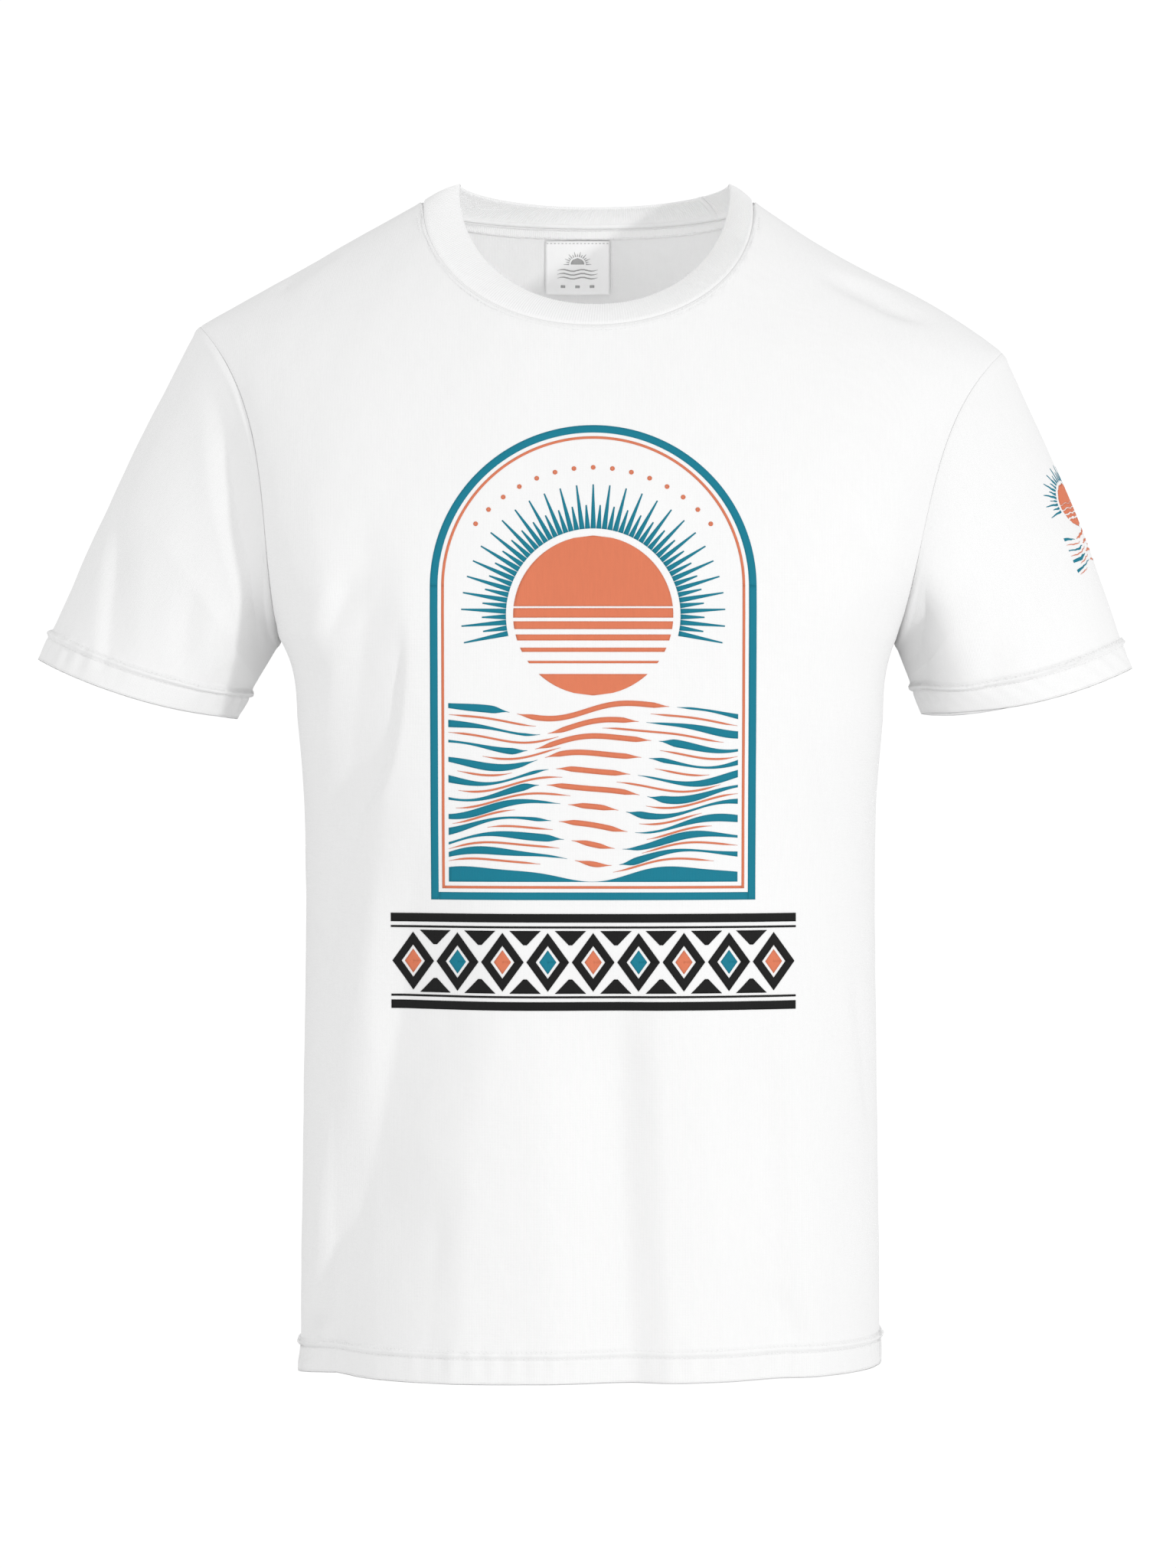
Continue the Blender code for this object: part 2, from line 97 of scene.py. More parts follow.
NECK_SHARE = 7 / 16         # share of a panel's columns that end at the neckline

# Collar
COLLAR_TOP_HALF_WIDTH = 0.0815
COLLAR_TOP_SHIFT = 0.004
COLLAR_TOP_SIDE_Z = 0.0106
COLLAR_TOP_FRONT = (-0.0745, -0.0695)           # y and z of the top edge at the centre front
COLLAR_TOP_BACK = (0.0465, 0.0022)
COLLAR_FALL = {"front": 2 / NECK_ROUNDNESS, "back": 1.45}   # how early the top edge falls away
COLLAR_ROLL = 0.0012        # how far the rib bulges out between its edges
COLLAR_THICKNESS = 0.0021   # folded rib, two layers
RIBS = 384                  # once round the neck
RIB_DEPTH = 0.00028
RIB_START = 0.0022          # the ribs begin so far up from the seam's edge,
RIB_END = 0.0040            # end so far before the inner edge,
RIB_FADE = 0.0015           # and come and go over this length
COLLAR_ROWS = 17
COLLAR_JOIN = 2.42          # where the band's ends are joined; 2 is the left shoulder, 3 the centre back
COLLAR_JOIN_GROOVE = (0.0006, 0.006)            # depth, and width in the same steps
COLLAR_JOIN_SWELL = (0.0004, 0.035)             # height, and width

# Sides: +X is the wearer's left
Side = namedtuple("Side", [
    "name", "sign",
    "ease",                 # added to the body's half width
    "tip",                  # x and z of the shoulder's end, where the armhole seam crosses it
    "armpit_x",
    "lean", "power",        # the armhole seam's run: this share straight, the rest to this power
    "wave",                 # how far the shoulder line dips towards its end
    "cuff_outer", "cuff_inner",     # x and z of the cuff's corners
    "cuff_bow",             # the cuff hangs this much lower between its corners
    "swell", "swell_skew",  # the sleeve's outward curve; under 1 it is fullest near the shoulder
    "valley"])              # the fold in front of the armhole seam
LEFT = Side("left", 1, 0.0013, (0.2505, -0.0915), 0.1845, 0.55, 5.0, 0.030,
            (0.3270, -0.2826), (0.2020, -0.3094), 0.0078, 0.0045, 1.0, 0.002)
RIGHT = Side("right", -1, -0.0013, (0.2345, -0.0755), 0.1850, 0.30, 4.5, 0.0,
             (0.3310, -0.2770), (0.2130, -0.3120), 0.0060, 0.0030, 0.65, 0.005)
CUFF_HALF_DEPTH = 0.054
SLEEVE_LENGTH = 0.19        # between armhole and hem, for spacing its rows
UNDERARM = 0.05             # length of a sleeve along its underarm, where it doesn't swell
UPPER_SLEEVE = 0.10         # a sleeve swells in full where it is longer than that by this
VALLEY_REACH = 0.5          # share of the sleeve's length that the fold at the armhole takes
SEEN_FACING = 0.35          # a sleeve's creases are in full where it faces forward by this or more

# Folds, as seen from the front or the back.  The floor of a fold runs along a line of z and x, foot
# first; its walls are so wide towards -X and +X; it is this deep.  A crease of 1 has a sharp floor.
Fold = namedtuple("Fold", "floor_z floor_x walls depth crease")
FOLDS = {
    "front": (
        # centre drape, hip drape and its deeper foot, chest drape, flank drape
        Fold((-0.70, -0.56, -0.44), (0.0255, 0.0190, 0.0160), (0.050, 0.026), 0.0095, 0.2),
        Fold((-0.70, -0.66, -0.60, -0.55, -0.47, -0.37), (-0.150, -0.147, -0.132, -0.121, -0.107, -0.098),
             (0.036, 0.060), 0.0155, 0.35),
        Fold((-0.70, -0.66, -0.60, -0.55), (-0.150, -0.147, -0.132, -0.121), (0.030, 0.080), 0.0050, 0.3),
        Fold((-0.46, -0.41, -0.36, -0.31, -0.25, -0.17), (-0.150, -0.147, -0.141, -0.135, -0.129, -0.131),
             (0.030, 0.026), 0.0078, 0.3),
        Fold((-0.70, -0.60, -0.46), (0.112, 0.104, 0.098), (0.034, 0.025), 0.0070, 0.2),
    ),
    "back": (
        Fold((-0.70, -0.36), (0.078, 0.050), (0.045, 0.035), 0.0055, 0.3),
        Fold((-0.70, -0.42), (-0.062, -0.080), (0.035, 0.045), 0.0050, 0.3),
        Fold((-0.70, -0.52), (0.004, 0.008), (0.030, 0.030), 0.0025, 0.2),
    ),
}
FOLD_FADE = 0.35            # a fold dies out over this share of its height
FOLD_CLEAR = 0.05           # and nearer than this to the side seams

# Small creases in the cloth, in the same terms; they die out at both ends
CREASES = {
    "front": (
        Fold((-0.407, -0.373, -0.344, -0.288, -0.245), (-0.142, -0.134, -0.120, -0.110, -0.108),
             (0.026, 0.006), 0.0042, 0.6),
        Fold((-0.275, -0.255, -0.225), (-0.155, -0.146, -0.134), (0.014, 0.016), 0.0040, 0.5),
        Fold((-0.325, -0.300, -0.275), (-0.164, -0.160, -0.156), (0.010, 0.010), 0.0020, 0.5),
        Fold((-0.505, -0.463, -0.421, -0.375), (-0.160, -0.154, -0.147, -0.141),
             (0.010, 0.007), 0.0016, 0.8),
        Fold((-0.470, -0.450, -0.428), (-0.152, -0.158, -0.166), (0.008, 0.008), 0.0018, 0.8),
        Fold((-0.745, -0.640, -0.600, -0.560), (-0.096, -0.092, -0.089, -0.087),
             (0.045, 0.022), 0.0044, 0.3),
        Fold((-0.410, -0.347, -0.301, -0.270), (0.152, 0.134, 0.128, 0.125), (0.009, 0.012), 0.0017, 0.7),
        Fold((-0.575, -0.530, -0.450), (0.168, 0.165, 0.156), (0.008, 0.008), 0.0022, 0.8),
        Fold((-0.235, -0.190), (0.176, 0.155), (0.014, 0.014), 0.0024, 0.3),
        Fold((-0.690, -0.640), (0.128, 0.104), (0.012, 0.016), 0.0022, 0.3),
        Fold((-0.700, -0.665), (-0.168, -0.158), (0.010, 0.014), 0.0045, 0.5),
        Fold((-0.080, -0.062, -0.044), (0.206, 0.172, 0.140), (0.020, 0.016), 0.0052, 0.4),
        Fold((-0.066, -0.048), (0.192, 0.158), (0.010, 0.008), 0.0016, 0.6),
        Fold((-0.062, -0.044, -0.030), (-0.190, -0.170, -0.146), (0.014, 0.012), 0.0018, 0.5),
    ),
    "back": (
        Fold((-0.42, -0.33, -0.25), (0.150, 0.140, 0.150), (0.016, 0.012), 0.0025, 0.5),
        Fold((-0.40, -0.32, -0.25), (-0.146, -0.138, -0.150), (0.012, 0.016), 0.0025, 0.5),
        Fold((-0.52, -0.44, -0.38), (0.158, 0.150, 0.146), (0.009, 0.008), 0.0015, 0.8),
        Fold((-0.52, -0.44, -0.38), (-0.160, -0.152, -0.146), (0.008, 0.009), 0.0015, 0.8),
    ),
    "sleeve_left": (
        Fold((-0.315, -0.275, -0.225), (0.189, 0.192, 0.202), (0.010, 0.036), 0.0075, 0.4),
        Fold((-0.305, -0.265, -0.230), (0.236, 0.242, 0.250), (0.012, 0.018), 0.0020, 0.4),
    ),
    "sleeve_right": (
        Fold((-0.300, -0.257, -0.232, -0.206, -0.175, -0.138, -0.100),
             (-0.200, -0.195, -0.201, -0.2075, -0.214, -0.219, -0.228), (0.012, 0.022), 0.0058, 0.6),
        Fold((-0.305, -0.250, -0.185), (-0.287, -0.285, -0.281), (0.008, 0.022), 0.0034, 0.7),
        Fold((-0.300, -0.260, -0.225), (-0.240, -0.237, -0.232), (0.014, 0.014), 0.0020, 0.4),
    ),
}
SEAM_CALM = 0.007           # the creases fade out this near to a seam
CREASE_POWER = 1.7          # shape of a sharp floor's walls

# Finer relief, as heights off the cloth
Unevenness = namedtuple("Unevenness", "height length seed")
PANEL_UNEVENNESS = (Unevenness(0.0010, 0.075, 3), Unevenness(0.00034, 0.024, 11))
SLEEVE_UNEVENNESS = (Unevenness(0.0010, 0.070, 5), Unevenness(0.00034, 0.024, 15))
COLLAR_UNEVENNESS = (Unevenness(0.00025, 0.030, 21),)
WAVE_COUNT = 7
WAVE_LEAN = (1, 1, 0.55)    # fewer of the waves run up and down than across
WAVE_SPREAD = (0.7, 1.5)    # shortest and longest, as shares of their usual length
SEAM_ROLL = 0.0011          # the cloth rolls in at a seam over about this distance,
SEAM_DIP = 0.0004           # so far at most,
NECK_DIP = 0.0008           # so much more at the neckline,
COLLAR_DIP = 0.0012         # so far where the collar meets it,
UNDERARM_DIP = 0.7          # and by this share of SEAM_DIP along the underarm
ARMHOLE_RIDGE = (0.0005, 0.0042, 0.0022)        # height, distance from the seam, and width
# Ripples of this length along a seam crowd together and spread by this drift, and fade in places
Ripple = namedtuple("Ripple", "length drift drift_length fade_length")
RIPPLE_FADE = (0.6, 0.4)    # a ripple's usual strength, and how much that comes and goes
NEEDLE_WIDTH = 0.0006       # a needle row's groove
HEM_STANDS_OUT = 0.0007     # the doubled cloth of a hem,
HEM_STEP = (0.0012, 0.0022)         # down to nothing so far over the upper needle row, in this width
HEM_GROOVES = (0.0007, 0.0001)      # depths of the lower and the upper needle row
HEM_RIDGE = 0.0016          # the cloth puffs up between the needle rows,
HEM_RIDGE_WIDTH = 0.62      # over this share of the distance between them to each side,
HEM_GATHERS = 0.00050       # unevenly
GATHERS = Ripple(0.0031, 2.6, 0.011, 0.0083)
HEM_PUCKER = 0.00060        # and pulls the band below into ripples,
PUCKER_MIDDLE = 0.75        # this share of the way up to the lower needle row
PUCKER_WIDTH = 0.015
PUCKERS = Ripple(0.0125, 2.1, 0.037, 0.023)
HEM_EDGE_WAVE = 0.0008      # while the edge waves slowly
EDGE_WAVE = Ripple(0.019, 1.7, 0.053, None)     # its length is that of one radian
EDGE_WAVE_WIDTH = 0.016
BACK_HEM_SHIFT = 0.3        # so that the back hem's ripples differ from the front's
NECK_STANDS_OUT = 0.0005    # the same below the neckline, where an allowance lies behind
NECK_STEP = (0.0022, 0.0020)
NECK_GROOVE = 0.0006
NECK_PUCKER = 0.00016
NECK_PUCKERS = Ripple(0.0063, 2, 0.03, None)
NECK_PUCKER_WIDTH = 0.006
NECK_FADE = 0.04            # share of a half panel's columns over which the neckline's relief ends

# Mesh density
COLUMN_STEP = 0.0027
COLUMN_LEVEL = 0.6          # a panel's columns are spaced evenly this far up to its armpit,
ROW_COLUMN = 0.05           # and its rows along this column
ROW_STEP = 0.0031
FINE_STEPS = (0, 0.0005, 0.0010, 0.0016, 0.0023, 0.0031, 0.0040, 0.0050, 0.0062, 0.0078, 0.0098)
HEM_ROWS = 24               # from the hem's edge up over the needle rows
HEM_BAND = 0.025
TURNING_ROWS = 12           # of the cloth turned up inside the hem
FOLD_POINTS = 7             # round the hem's folded edge, both ends counted,
ROLL_POINTS = 8             # and round the collar's top edge
SLEEVE_COLUMNS = 216
COLLAR_COLUMNS_PER_RIB = 6
WELD_DISTANCE = 0.00001
MAP_STEP = 0.002            # a panel's UV map is worked out on a chart of this step,
MAP_REACH = 0.27            # reaching so far to both sides
MAP_MARGIN = 0.025          # and so far past the hem and the shoulders
MAP_LINE_X = 0.06           # heights are measured up the line here

# Threads and linings
STITCH = 0.0028
LABEL_STITCH = 0.0022
LABEL_STITCH_LIFT = 0.0002  # a stitch's middle, off the label
LABEL_SEAM_DOWN = 1.73      # its seam's row, counted from the label's top
LABEL_SEAM_ENDS = 0.9       # columns that it leaves free at both ends
LABEL_SEAM_POINTS = 40
STITCH_GAP = 0.0007
STITCH_UNEVENNESS = 0.08
THREAD_RADIUS = 0.00022
LOOPER_RADIUS = 0.00017
HEM_LOOPER = (0.0023, 0.0029)       # half width and pitch
OVERLOCK = (0.0027, 0.0024)         # the same
OVERLOCK_IN = 0.0050        # its middle, measured from the seam
STITCH_LIFT = 0.0001        # a stitch's middle, over the cloth
HEM_CLEAR = 0.004           # a side seam's allowance shows from so far over the hem
SEAM_START = 0.0008         # an allowance starts this near to the seam
ALLOWANCE_STEPS = np.linspace(SEAM_START, SEAM_ALLOWANCE, 5)
NECK_TAPE_START = 0.0006
NECK_TAPE_CROWN = 0.0004
NECK_TAPE_NEEDLES = (0.0014, TAPE_WIDTH - 0.0008)
NECK_ALLOWANCE = 0.0055     # what is left of the front neckline's allowance
NECK_OVERLOCK_IN = 0.0034
TAPE_ROWS = (1, 0.55, 0.2)  # rows of a shoulder tape, as shares of its half width
NECK_CORNER = 0.012         # it starts this share of a half panel's columns from the neckline
UNDER_TAPE = 0.0002         # a thread's middle, beyond the lining or the hem that it is sewn on

# Print.  Sizes are measured from the middle of a print's foot.
INK = 0.00012               # thickness of a skin of ink
INK_LIFT = {"teal": 0.00014, "coral": 0.00019, "black": 0.00024}
INK_STEP = 0.0022           # size of the ink's faces
LEAST_STROKE = 0.00008      # half thickness of a stroke's tip
LEAST_SLOPE = 0.02          # share of a triangle's height that is left at its corners
PRINT_FOOT = (0.003, -0.483)        # x and z of the middle of its foot, the border's lower edge
ARCH_HALF_WIDTH = 0.094
ARCH_FOOT = 0.064           # above the print's foot
ARCH_SPRING = 0.245
ARCH_LINES = ((0.0, 0.0044, "teal"), (0.0066, 0.0015, "coral"))     # inset and width
ARCH_INSIDE = 0.0105        # from its outer edge to the picture
WAVE_LENGTH = 0.120
WAVE_HEIGHT = 0.0040
WAVE_SHIFT = 0.5            # radians from one line to the next
BORDER_HALF_LENGTH = 0.118
BORDER_GAP = 0.0080         # between the border and the arch
BORDER_BARS = ((0, 0.0050), (0.0072, 0.0084))   # from and to, measured in from either edge
DIAMONDS = 9
DIAMOND = (0.47, 0.0170)    # half width as a share of the pitch, and half height
DIAMOND_HOLE = 0.56         # size of a frame's opening, as a share of the diamond
LEAST_HOLE = 0.01           # and of the pinhole in a full one
DIAMOND_CORE = (0.19, 0.0070)       # the same two, of the small diamond inside it
TRIANGLE = (0.34, 0.0098, 0.0192)   # half width as a share of the pitch, base and tip from the edge
Sun = namedtuple("Sun", "height radius slits rays inner long short foot start end")     # ends in degrees
CHEST_SUN = Sun(ARCH_SPRING - 0.017, 0.046, 6, 57, 0.046 + 0.0042, 0.0760, 0.0640, 0.0030, -12, 192)
SLEEVE_SUN = Sun(0.0455, 0.0138, 4, 25, 0.0158, 0.0255, 0.0212, 0.0016, -8, 188)
LABEL_SUN = Sun(0.0205, 0.0042, 0, 15, 0.0052, 0.0086, 0.0072, 0.0008, 0, 180)
LABEL_LINES = (3, 0.0165, 0.0026, 0.0125, 0.0007)       # number, height, pitch, half length, thickness
LABEL_LINE_WAVE = (0.0006, 0.0019)
LABEL_LINE_TIPS = (0.004, 0.004)
LABEL_BLOCKS = ((-0.009, 0.0, 0.009), 0.0014, 0.0046, 0.0064)   # across, half width, from and to
LABEL_WEAVE_LIFT = 0.00006
LABEL_HALF_DISC = 0.00419   # just under the disc's radius
SPOTS = (15, 0.0860, 0.0014, 38, 142)           # number, distance, radius, from and to in degrees
SPOT_HOLE = 0.0002          # radius of the pinhole in a spot, which is drawn as a ring
RAY_TIP = 0.25              # a ray's width at its tip, as a share of its foot
NEAR_EDGE = 0.9999          # a disc is cut off this near to its top and its foot
Sea = namedtuple("Sea", "edge top pitch lines glitter size")    # size scales the waves and strokes
WATER_GAP = 0.0022          # between a line of water and the light on it
WATER_TIP = 0.010           # a stroke thins out over this length
BROAD_LIGHT = 0.0030
FINE_LIGHT = 0.0010
CHEST_SEA = Sea(ARCH_HALF_WIDTH - ARCH_INSIDE, 0.1735, 0.0094, 10, CHEST_SUN.radius * 0.82, 1.0)
SLEEVE_SEA = Sea(0.0235, 0.0272, 0.0062, 4, 0.0105, 0.46)
SLEEVE_PRINT_AROUND = 0.03  # share of the girth from the top of the sleeve towards the front
SLEEVE_PRINT_FOOT = 0.062   # above the cuff's edge
SLEEVE_PRINT_MIDDLE = 0.03  # height over the foot where its scale across is taken

# Finishes.  knit: widths of a wale and a course; relief: how high the knit stands; tint: how much
# the yarn's shade varies; creping: height of the fine crinkle over it.
Finish = namedtuple("Finish", "colour roughness knit relief tint creping", defaults=(0.015, 0.00005))
JERSEY_KNIT = (0.00095, 0.0008)
THREAD_TWIST = (0.0005, 0.0005)
SPECULAR = 0.25
SLUB = (420, 90)            # thick and thin places in the yarn, to a metre across and along
FINISHES = {
    "white_jersey": Finish((0.865, 0.865, 0.865), 0.92, JERSEY_KNIT, 0.00003),
    "white_rib": Finish((0.895, 0.895, 0.895), 0.92, (0.0009, 0.0009), 0.00003),
    "white_twill": Finish((0.915, 0.915, 0.915), 0.85, (0.0012, 0.0009), 0.00005),
    "label_satin": Finish((0.96, 0.96, 0.96), 0.42, (0.0006, 0.0005), 0.00001, 0.006, 0.00001),
    "white_thread": Finish((0.875, 0.875, 0.875), 0.6, THREAD_TWIST, 0.00001),
    "woven_grey_thread": Finish((0.42, 0.42, 0.42), 0.6, THREAD_TWIST, 0.00001),
    "ink_teal": Finish((0.004, 0.188, 0.270), 0.72, JERSEY_KNIT, 0.00003, 0.05),
    "ink_coral": Finish((0.685, 0.192, 0.098), 0.72, JERSEY_KNIT, 0.00003, 0.05),
    "ink_black": Finish((0.005, 0.005, 0.005), 0.72, JERSEY_KNIT, 0.00003, 0.05),
}

# Studio
CAMERA_DISTANCE = 2.8
CAMERA_Z = -0.352
SENSOR = 36                 # millimetres
VIEW_HEIGHT = 2048          # pixels
METRES_PER_PIXEL = 0.0004625        # in the plane y = 0
WHITE = (1, 1, 1, 1)
LIGHT_AIM = Vector((0, 0, -0.25))
KEY_FROM = (2.0, -2.2, 0.28)
LIGHT_DISTANCE = 3.4
KEY_SIZE = 0.22
KEY_POWER = 31.5
FILL_FROM = (-1.9, -2.1, 0.35)
FILL_SIZE = 1.2
FILL_POWER = 14.0
GLOW_PLACE = (0.0, 0.0, -0.30)      # the light that thin cloth lets into the shirt
GLOW_SIZE = 0.16
GLOW_POWER = 0.22
SURROUND_LIGHT = 0.80
BACKDROP_LIGHT = 1.05
FLOOR_Z = -1.45
FLOOR_SIZE = 4.0
FLOOR_GREY = 0.86
FLOOR_ROUGHNESS = 0.7

root = "root"


# Curves

def through(knots, values, at):
    """Smooth curve through a few stations, held level beyond the first and the last."""
    knots = np.asarray(knots, float)
    values = np.asarray(values, float)
    slopes = np.gradient(values, knots)
    at = np.clip(at, knots[0], knots[-1])
    i = np.clip(np.searchsorted(knots, at) - 1, 0, len(knots) - 2)
    width = knots[i + 1] - knots[i]
    t = (at - knots[i]) / width
    rise = (2 * t**3 - 3 * t**2 + 1) * values[i] + (3 * t**2 - 2 * t**3) * values[i + 1]
    lean = (t**3 - 2 * t**2 + t) * slopes[i] + (t**3 - t**2) * slopes[i + 1]
    return rise + lean * width


def soften(t):
    """0 to 1 with level ends."""
    t = np.clip(t, 0, 1)
    return t * t * (3 - 2 * t)


def bump(distance, width):
    """1 at the middle, 0 from this width on."""
    return soften(1 - np.abs(distance) / width)


def by_side(x, pick):
    """The value of each side of the body, where x falls."""
    return np.where(x >= 0, pick(LEFT), pick(RIGHT))


# Folds

def fold_depth(fold, x, z, both_ends):
    """How far one fold sinks in at x, z."""
    if len(fold.floor_z) > 2:
        floor = through(fold.floor_z, fold.floor_x, z)
    else:
        floor = np.interp(z, fold.floor_z, fold.floor_x)
    away = x - floor
    wall = np.clip(1 - np.abs(away) / np.where(away < 0, fold.walls[0], fold.walls[1]), 0, 1)
    profile = soften(wall) * (1 - fold.crease) + wall**CREASE_POWER * fold.crease
    foot, top = fold.floor_z[0], fold.floor_z[-1]
    fade = soften((top - z) / (FOLD_FADE * (top - foot)))
    if both_ends:
        fade = fade * soften((z - foot) / (FOLD_FADE * (top - foot)))
    return fold.depth * fade * profile


def sink(folds, x, z, both_ends=False):
    """How far the cloth sinks in at x, z, all folds together."""
    return sum(fold_depth(fold, x, z, both_ends) for fold in folds)


def waves(points, seed, length):
    """From -1 to 1: a few plane waves of about this length in seeded directions."""
    rng = np.random.default_rng(seed)
    total = 0
    for _ in range(WAVE_COUNT):
        direction = rng.normal(size=3) * WAVE_LEAN
        direction = direction / np.linalg.norm(direction)
        phase = rng.uniform(0, 2 * math.pi)
        wave = length * rng.uniform(*WAVE_SPREAD)
        total = total + np.sin(points @ direction * (2 * math.pi / wave) + phase)
    return total / WAVE_COUNT


def unevenness(points, kinds, shift=0):
    """Slow unevenness of the cloth; the shift gives two like pieces waves of their own."""
    return sum(kind.height * waves(points, kind.seed + shift, kind.length) for kind in kinds)


def rippled(run, kind):
    """Ripples along a seam, from -1 to 1, closer and wider by turns."""
    return np.sin(run / kind.length * 2 * math.pi + kind.drift * np.sin(run / kind.drift_length))


def fading(run, kind):
    """How strong such ripples are along the seam."""
    usual, change = RIPPLE_FADE
    return usual + change * np.sin(run / kind.fade_length)


# Body surface

def roundness(z):
    """Exponent of the body's oval at height z."""
    up = soften((z - WAIST_Z) / (CHEST_Z - WAIST_Z))
    return WAIST_ROUNDNESS + (CHEST_ROUNDNESS - WAIST_ROUNDNESS) * up


def crest(x):
    """Height of the shoulder line over x."""
    beyond = np.abs(x) - NECK_HALF_WIDTH
    t = beyond / (by_side(x, lambda s: s.tip[0]) - NECK_HALF_WIDTH)
    near_neck, gain = CREST_WAVE
    wave = by_side(x, lambda s: s.wave) * (near_neck + gain * t) * np.sin(2 * math.pi * t)
    shoulder = by_side(x, lambda s: s.tip[1]) * (t + wave)
    over_neck = CREST_RISE * (1 - (x / NECK_HALF_WIDTH)**2)
    return np.where(beyond < 0, over_neck, shoulder)


def crest_above(x, z):
    """The shoulder line, without its corner beside the neck where the cloth lies well below it."""
    smooth = sum(crest(x + shift) for shift in CREST_SMOOTHING) / len(CREST_SMOOTHING)
    near = soften(1 - (crest(x) - z) / CREST_REACH)
    return smooth + (crest(x) - smooth) * near


def armhole_x(x, climb):
    """Distance of the armhole seam from the middle, from the armpit (0) up to the shoulder (1)."""
    lean = by_side(x, lambda s: s.lean)
    share = lean * climb + (1 - lean) * climb**by_side(x, lambda s: s.power)
    foot = by_side(x, lambda s: s.armpit_x)
    return foot + (by_side(x, lambda s: s.tip[0]) - foot) * share


def half_width(face, x, z):
    """Half width of the body's oval at height z; above the armpit it runs on past the seam."""
    armpit = by_side(x, lambda s: s.armpit_x)
    below = through(BODY_Z, BODY_HALF_WIDTH, z) + by_side(x, lambda s: s.ease)
    flare = np.clip(1 - (ARMPIT_Z - z) / ARMPIT_FLARE, 0, 1)**3
    below = below + (armpit - below) * flare
    climb = np.clip((z - ARMPIT_Z) / (by_side(x, lambda s: s.tip[1]) - ARMPIT_Z), 0, 1)
    scoop = 1 - np.clip(climb / ARMHOLE_SCOOP, 0, 1)
    fullness = ARMHOLE_FULLNESS[face] * np.sqrt(1 - scoop**2)
    power = roundness(z)
    above = armhole_x(x, climb) / (1 - fullness**power)**(1 / power)
    return np.where(z < ARMPIT_Z, below, above)


def depth(face, x, z):
    """Distance of the outer face from the plane y = 0, before the folds."""
    if face == "front":
        full = through(FRONT_Z, FRONT_DEPTH, z)
    else:
        full = through(BACK_Z, BACK_DEPTH, z)
    power = roundness(z)
    across = np.clip(np.abs(x) / half_width(face, x, z), 0, 1)
    oval = (1 - across**power)**(1 / power)
    start = ROLL_START[face]
    up = np.clip((z - start) / (crest_above(x, z) - start), 0, 1)
    roll = (1 - up**ROLL_POWER[face])**(1 / ROLL_POWER[face])
    return full * oval * roll


def neckline(face, turn):
    """x and z of the collar seam; turn runs from -1 to 1 between the shoulders."""
    angle = turn * math.pi / 2
    drop = FRONT_NECK_DROP if face == "front" else BACK_NECK_DROP
    fall = np.abs(np.cos(angle))**(2 / NECK_ROUNDNESS)
    shift = NECK_SHIFT * fall if face == "front" else 0
    x = np.sign(turn) * NECK_HALF_WIDTH * np.abs(np.sin(angle))**(2 / NECK_ROUNDNESS)
    return x + shift, -drop * fall


def panel_top(face, u):
    """x and z of a body panel's top edge: shoulder seam, neckline, shoulder seam."""
    neck_x, neck_z = neckline(face, np.clip(u / NECK_SHARE, -1, 1))
    out = (np.abs(u) - NECK_SHARE) / (1 - NECK_SHARE)
    reach = by_side(u, lambda s: s.tip[0]) - NECK_HALF_WIDTH
    shoulder_x = np.sign(u) * (NECK_HALF_WIDTH + reach * out)
    in_neck = out < 0
    return np.where(in_neck, neck_x, shoulder_x), np.where(in_neck, neck_z, crest(shoulder_x))


def panel_point(face, u, v):
    """Outer face of a body panel.  u: -1 to 1 across.  v: 0 hem, 1 armpit, 2 shoulder and neck."""
    u = np.asarray(u, float)
    v = np.asarray(v, float)
    low = np.clip(v, 0, 1)
    climb = np.clip(v - 1, 0, 1)
    top_x, top_z = panel_top(face, u)

    hem = HEM_Z + HEM_TILT * u - HEM_SAG * u**2
    z_low = hem + (ARMPIT_Z - hem) * low
    z_high = ARMPIT_Z + (top_z - ARMPIT_Z) * climb
    z = np.where(v < 1, z_low, z_high)

    across = np.sign(u) * np.abs(np.sin(u * math.pi / 2))**(2 / roundness(np.minimum(z, ARMPIT_Z)))
    foot = across * by_side(u, lambda s: s.armpit_x)
    edge = by_side(u, lambda s: s.armpit_x) * (1 - climb) + by_side(u, lambda s: s.tip[0]) * climb
    bend = np.sign(u) * np.abs(u)**ARMHOLE_PULL * (armhole_x(u, climb) - edge)
    x_high = foot * (1 - climb) + top_x * climb + bend
    x_low = across * half_width(face, u, z_low)
    x = np.where(v < 1, x_low, x_high)

    out = depth(face, x, z)
    out = out - sink(FOLDS[face], x, z) * soften(out / FOLD_CLEAR)
    y = -out if face == "front" else out
    return np.stack([x, y, z], axis=-1)


# Sleeve surface

def armhole_point(side, around):
    """The armhole seam: around is 0 at the shoulder, 0.5 at the armpit, 1 at the shoulder again."""
    up = np.abs(1 - 2 * around)
    climb = (1 - np.cos(math.pi * up)) / 2
    u = np.full_like(climb, side.sign)
    front = panel_point("front", u, 1 + climb)
    back = panel_point("back", u, 1 + climb)
    return np.where((around <= 0.5)[..., None], front, back)


